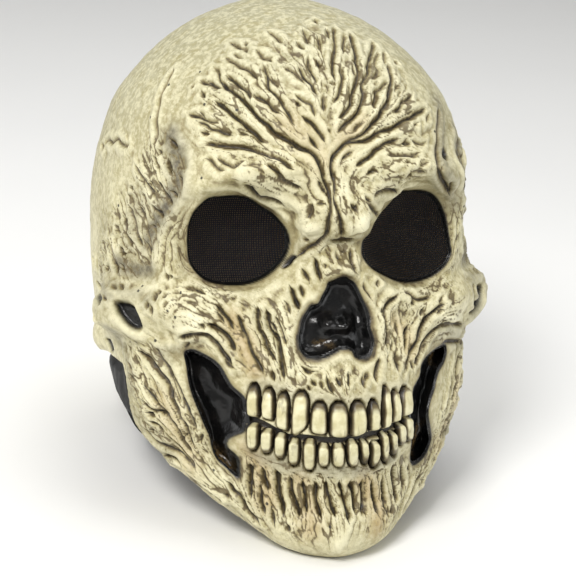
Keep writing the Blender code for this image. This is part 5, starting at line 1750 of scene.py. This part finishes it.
def tooth_material():
    """Yellowed enamel paint, brown at the edges and roots, which also paints their shade."""
    material, tree, shader = new_material("tooth_latex_painted")
    blotch = noise_of(tree, 160, 4)
    streak = noise_of(tree, 300, 3, 0.55, (1.0, 1.0, 0.22))
    speck = noise_of(tree, 1100, 2)
    base = mixed(tree, ramp_of(tree, blotch, 0.35, 0.68), TOOTH["pale"], TOOTH["straw"])
    base = mixed(tree, math_of(tree, "MULTIPLY", ramp_of(tree, streak, 0.56, 0.70), 0.45), base, TOOTH["wash_and_shade"])
    wash_and_shade = math_of(tree, "MULTIPLY", attribute(tree, "wash_and_shade"), math_of(tree, "ADD", blotch, 0.55), True)
    base = mixed(tree, ramp_of(tree, wash_and_shade, 0.10, 0.55), base, TOOTH["wash_and_shade"])
    base = mixed(tree, ramp_of(tree, wash_and_shade, 0.50, 1.0), base, TOOTH["crack"])
    tree.links.new(base, shader.inputs["Base Color"])
    tree.links.new(math_of(tree, "ADD", math_of(tree, "MULTIPLY", speck, 0.14), 0.30), shader.inputs["Roughness"])
    shader.inputs["Specular IOR Level"].default_value = 0.5
    bumped = bump_of(tree, streak, 0.30, 0.0007)
    tree.links.new(bump_of(tree, speck, 0.15, 0.0003, bumped), shader.inputs["Normal"])
    return material


def inside_material():
    """Bare latex of the inside, tan and matt."""
    material, tree, shader = new_material("bone_latex_bare")
    blotch = noise_of(tree, 45, 4)
    grain = noise_of(tree, 500, 3)
    colour = mixed(tree, ramp_of(tree, blotch, 0.35, 0.70), (0.36, 0.25, 0.13), (0.46, 0.34, 0.20))
    tree.links.new(colour, shader.inputs["Base Color"])
    tree.links.new(math_of(tree, "ADD", math_of(tree, "MULTIPLY", grain, 0.2), 0.6), shader.inputs["Roughness"])
    tree.links.new(bump_of(tree, grain, 0.3, 0.0006), shader.inputs["Normal"])
    return material


def floor_material():
    """Plain pale floor."""
    material, tree, shader = new_material("floor_pale")
    cloud = noise_of(tree, 3, 2)
    colour = mixed(tree, cloud, (0.80, 0.80, 0.79), (0.84, 0.84, 0.83))
    tree.links.new(colour, shader.inputs["Base Color"])
    shader.inputs["Roughness"].default_value = 0.85
    return material


# Colours of the bone paint: the olive, brown and near-black of the hollows also paint their shade, the shade colour is
# painted shade, and the pale colour is both light mottle and painted highlight
BONE = {
    "cream": (0.590, 0.545, 0.335),
    "straw": (0.440, 0.390, 0.205),
    "pale": (0.800, 0.760, 0.530),
    "grey": (0.300, 0.290, 0.195),
    "olive": (0.330, 0.290, 0.135),
    "amber": (0.360, 0.190, 0.040),
    "shade": (0.085, 0.072, 0.045),
    "hollow_wash_and_shade": (0.260, 0.215, 0.095),
    "wash_and_shade": (0.110, 0.080, 0.034),
    "crack": (0.013, 0.010, 0.006),
    "black": (0.004, 0.004, 0.004),
}
TOOTH = {
    "pale": (0.700, 0.660, 0.430),
    "straw": (0.540, 0.490, 0.270),
    "wash_and_shade": (0.130, 0.100, 0.045),
    "crack": (0.016, 0.012, 0.008),
}

bone, black_latex, neck_latex = bone_material(), black_material(), neck_material()
cloth, enamel, bare = screen_material(), tooth_material(), inside_material()


def dress(piece, material, slot, *nodes):
    """Gives a piece its material, and hides the nodes that it stands for; the slot is not used."""
    piece.data.materials.append(material)
    if nodes:
        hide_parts(*nodes)


for piece in skin_pieces:
    dress(piece, bone, "bone_latex", "skull_skin")
dress(inner_face, bare, "bone_latex")
dress(rim, bare, "bone_latex")
dress(nose_lining, black_latex, "black_latex", "nose_lining")
dress(cheek_lining_right, black_latex, "black_latex", "cheek_lining_left")
dress(cheek_lining_left, black_latex, "black_latex", "cheek_lining_right")
dress(neck_piece, neck_latex, "black_latex", "neck")
dress(screen_left, cloth, "screen_cloth", "eye_screen_right")
dress(screen_right, cloth, "screen_cloth", "eye_screen_left")
dress(upper_teeth, enamel, "tooth_latex", "upper_teeth")
dress(lower_teeth, enamel, "tooth_latex", "lower_teeth")

# Floor, light and camera
FLOOR_SIDES = 64
FLOOR_PROFILE = ((0.0005, 0), (2.0, 0), (2.6, 0.03), (3.0, 0.14), (3.25, 0.35), (3.4, 0.7), (3.45, 1.2), (3.45, 2.2))


def make_floor():
    """Large round pale floor that curves up far away."""
    points = []
    turns = np.linspace(0, 2 * math.pi, FLOOR_SIDES, endpoint=False)
    for radius, height in FLOOR_PROFILE:
        points += [(radius * math.cos(turn), radius * math.sin(turn), height) for turn in turns]
    faces = grid_quads(len(FLOOR_PROFILE), FLOOR_SIDES, True)[:, ::-1]
    mesh = bpy.data.meshes.new("floor")
    mesh.from_pydata(points, [], faces.tolist())
    mesh.polygons.foreach_set("use_smooth", [True] * len(mesh.polygons))
    floor = bpy.data.objects.new("floor", mesh)
    bpy.context.collection.objects.link(floor)
    mesh.materials.append(floor_material())


def look_along(place, toward):
    """Rotation that looks from a place to another."""
    return (Vector(toward) - Vector(place)).to_track_quat("-Z", "Y").to_euler()


def make_lights():
    """Large soft lights around the head, and a pale world."""
    middle = np.array(REST @ Vector((0, 0, 0.14)))
    for name, offset, size, power, tint in LIGHT_FROM:
        light = bpy.data.lights.new(name, "AREA")
        light.shape = "SQUARE"
        light.size = size
        light.energy = power
        light.color = tint
        lamp = bpy.data.objects.new(name, light)
        lamp.location = middle + np.array(offset)
        lamp.rotation_euler = look_along(lamp.location, middle)
        bpy.context.collection.objects.link(lamp)
    world = bpy.data.worlds.new("studio")
    world.use_nodes = True
    background = world.node_tree.nodes["Background"]
    background.inputs["Color"].default_value = (1, 1, 1, 1)
    background.inputs["Strength"].default_value = 0.38
    bpy.context.scene.world = world


def make_camera():
    """Camera at the photograph's angle."""
    camera = bpy.data.cameras.new("camera")
    camera.sensor_width = 36
    camera.lens = CAMERA_DISTANCE / PIXEL * camera.sensor_width / PHOTO_SIZE
    camera.clip_start = 0.01
    holder = bpy.data.objects.new("camera", camera)
    rows = np.stack((VIEW_RIGHT, VIEW_UP, VIEW_BACK), axis=1)
    pose = Matrix(rows.tolist()).to_4x4()
    pose.translation = Vector(VIEW_POINT)
    holder.matrix_world = REST @ pose
    bpy.context.collection.objects.link(holder)
    bpy.context.scene.camera = holder


make_floor()
make_lights()
make_camera()
bpy.context.scene.view_settings.view_transform = "Standard"
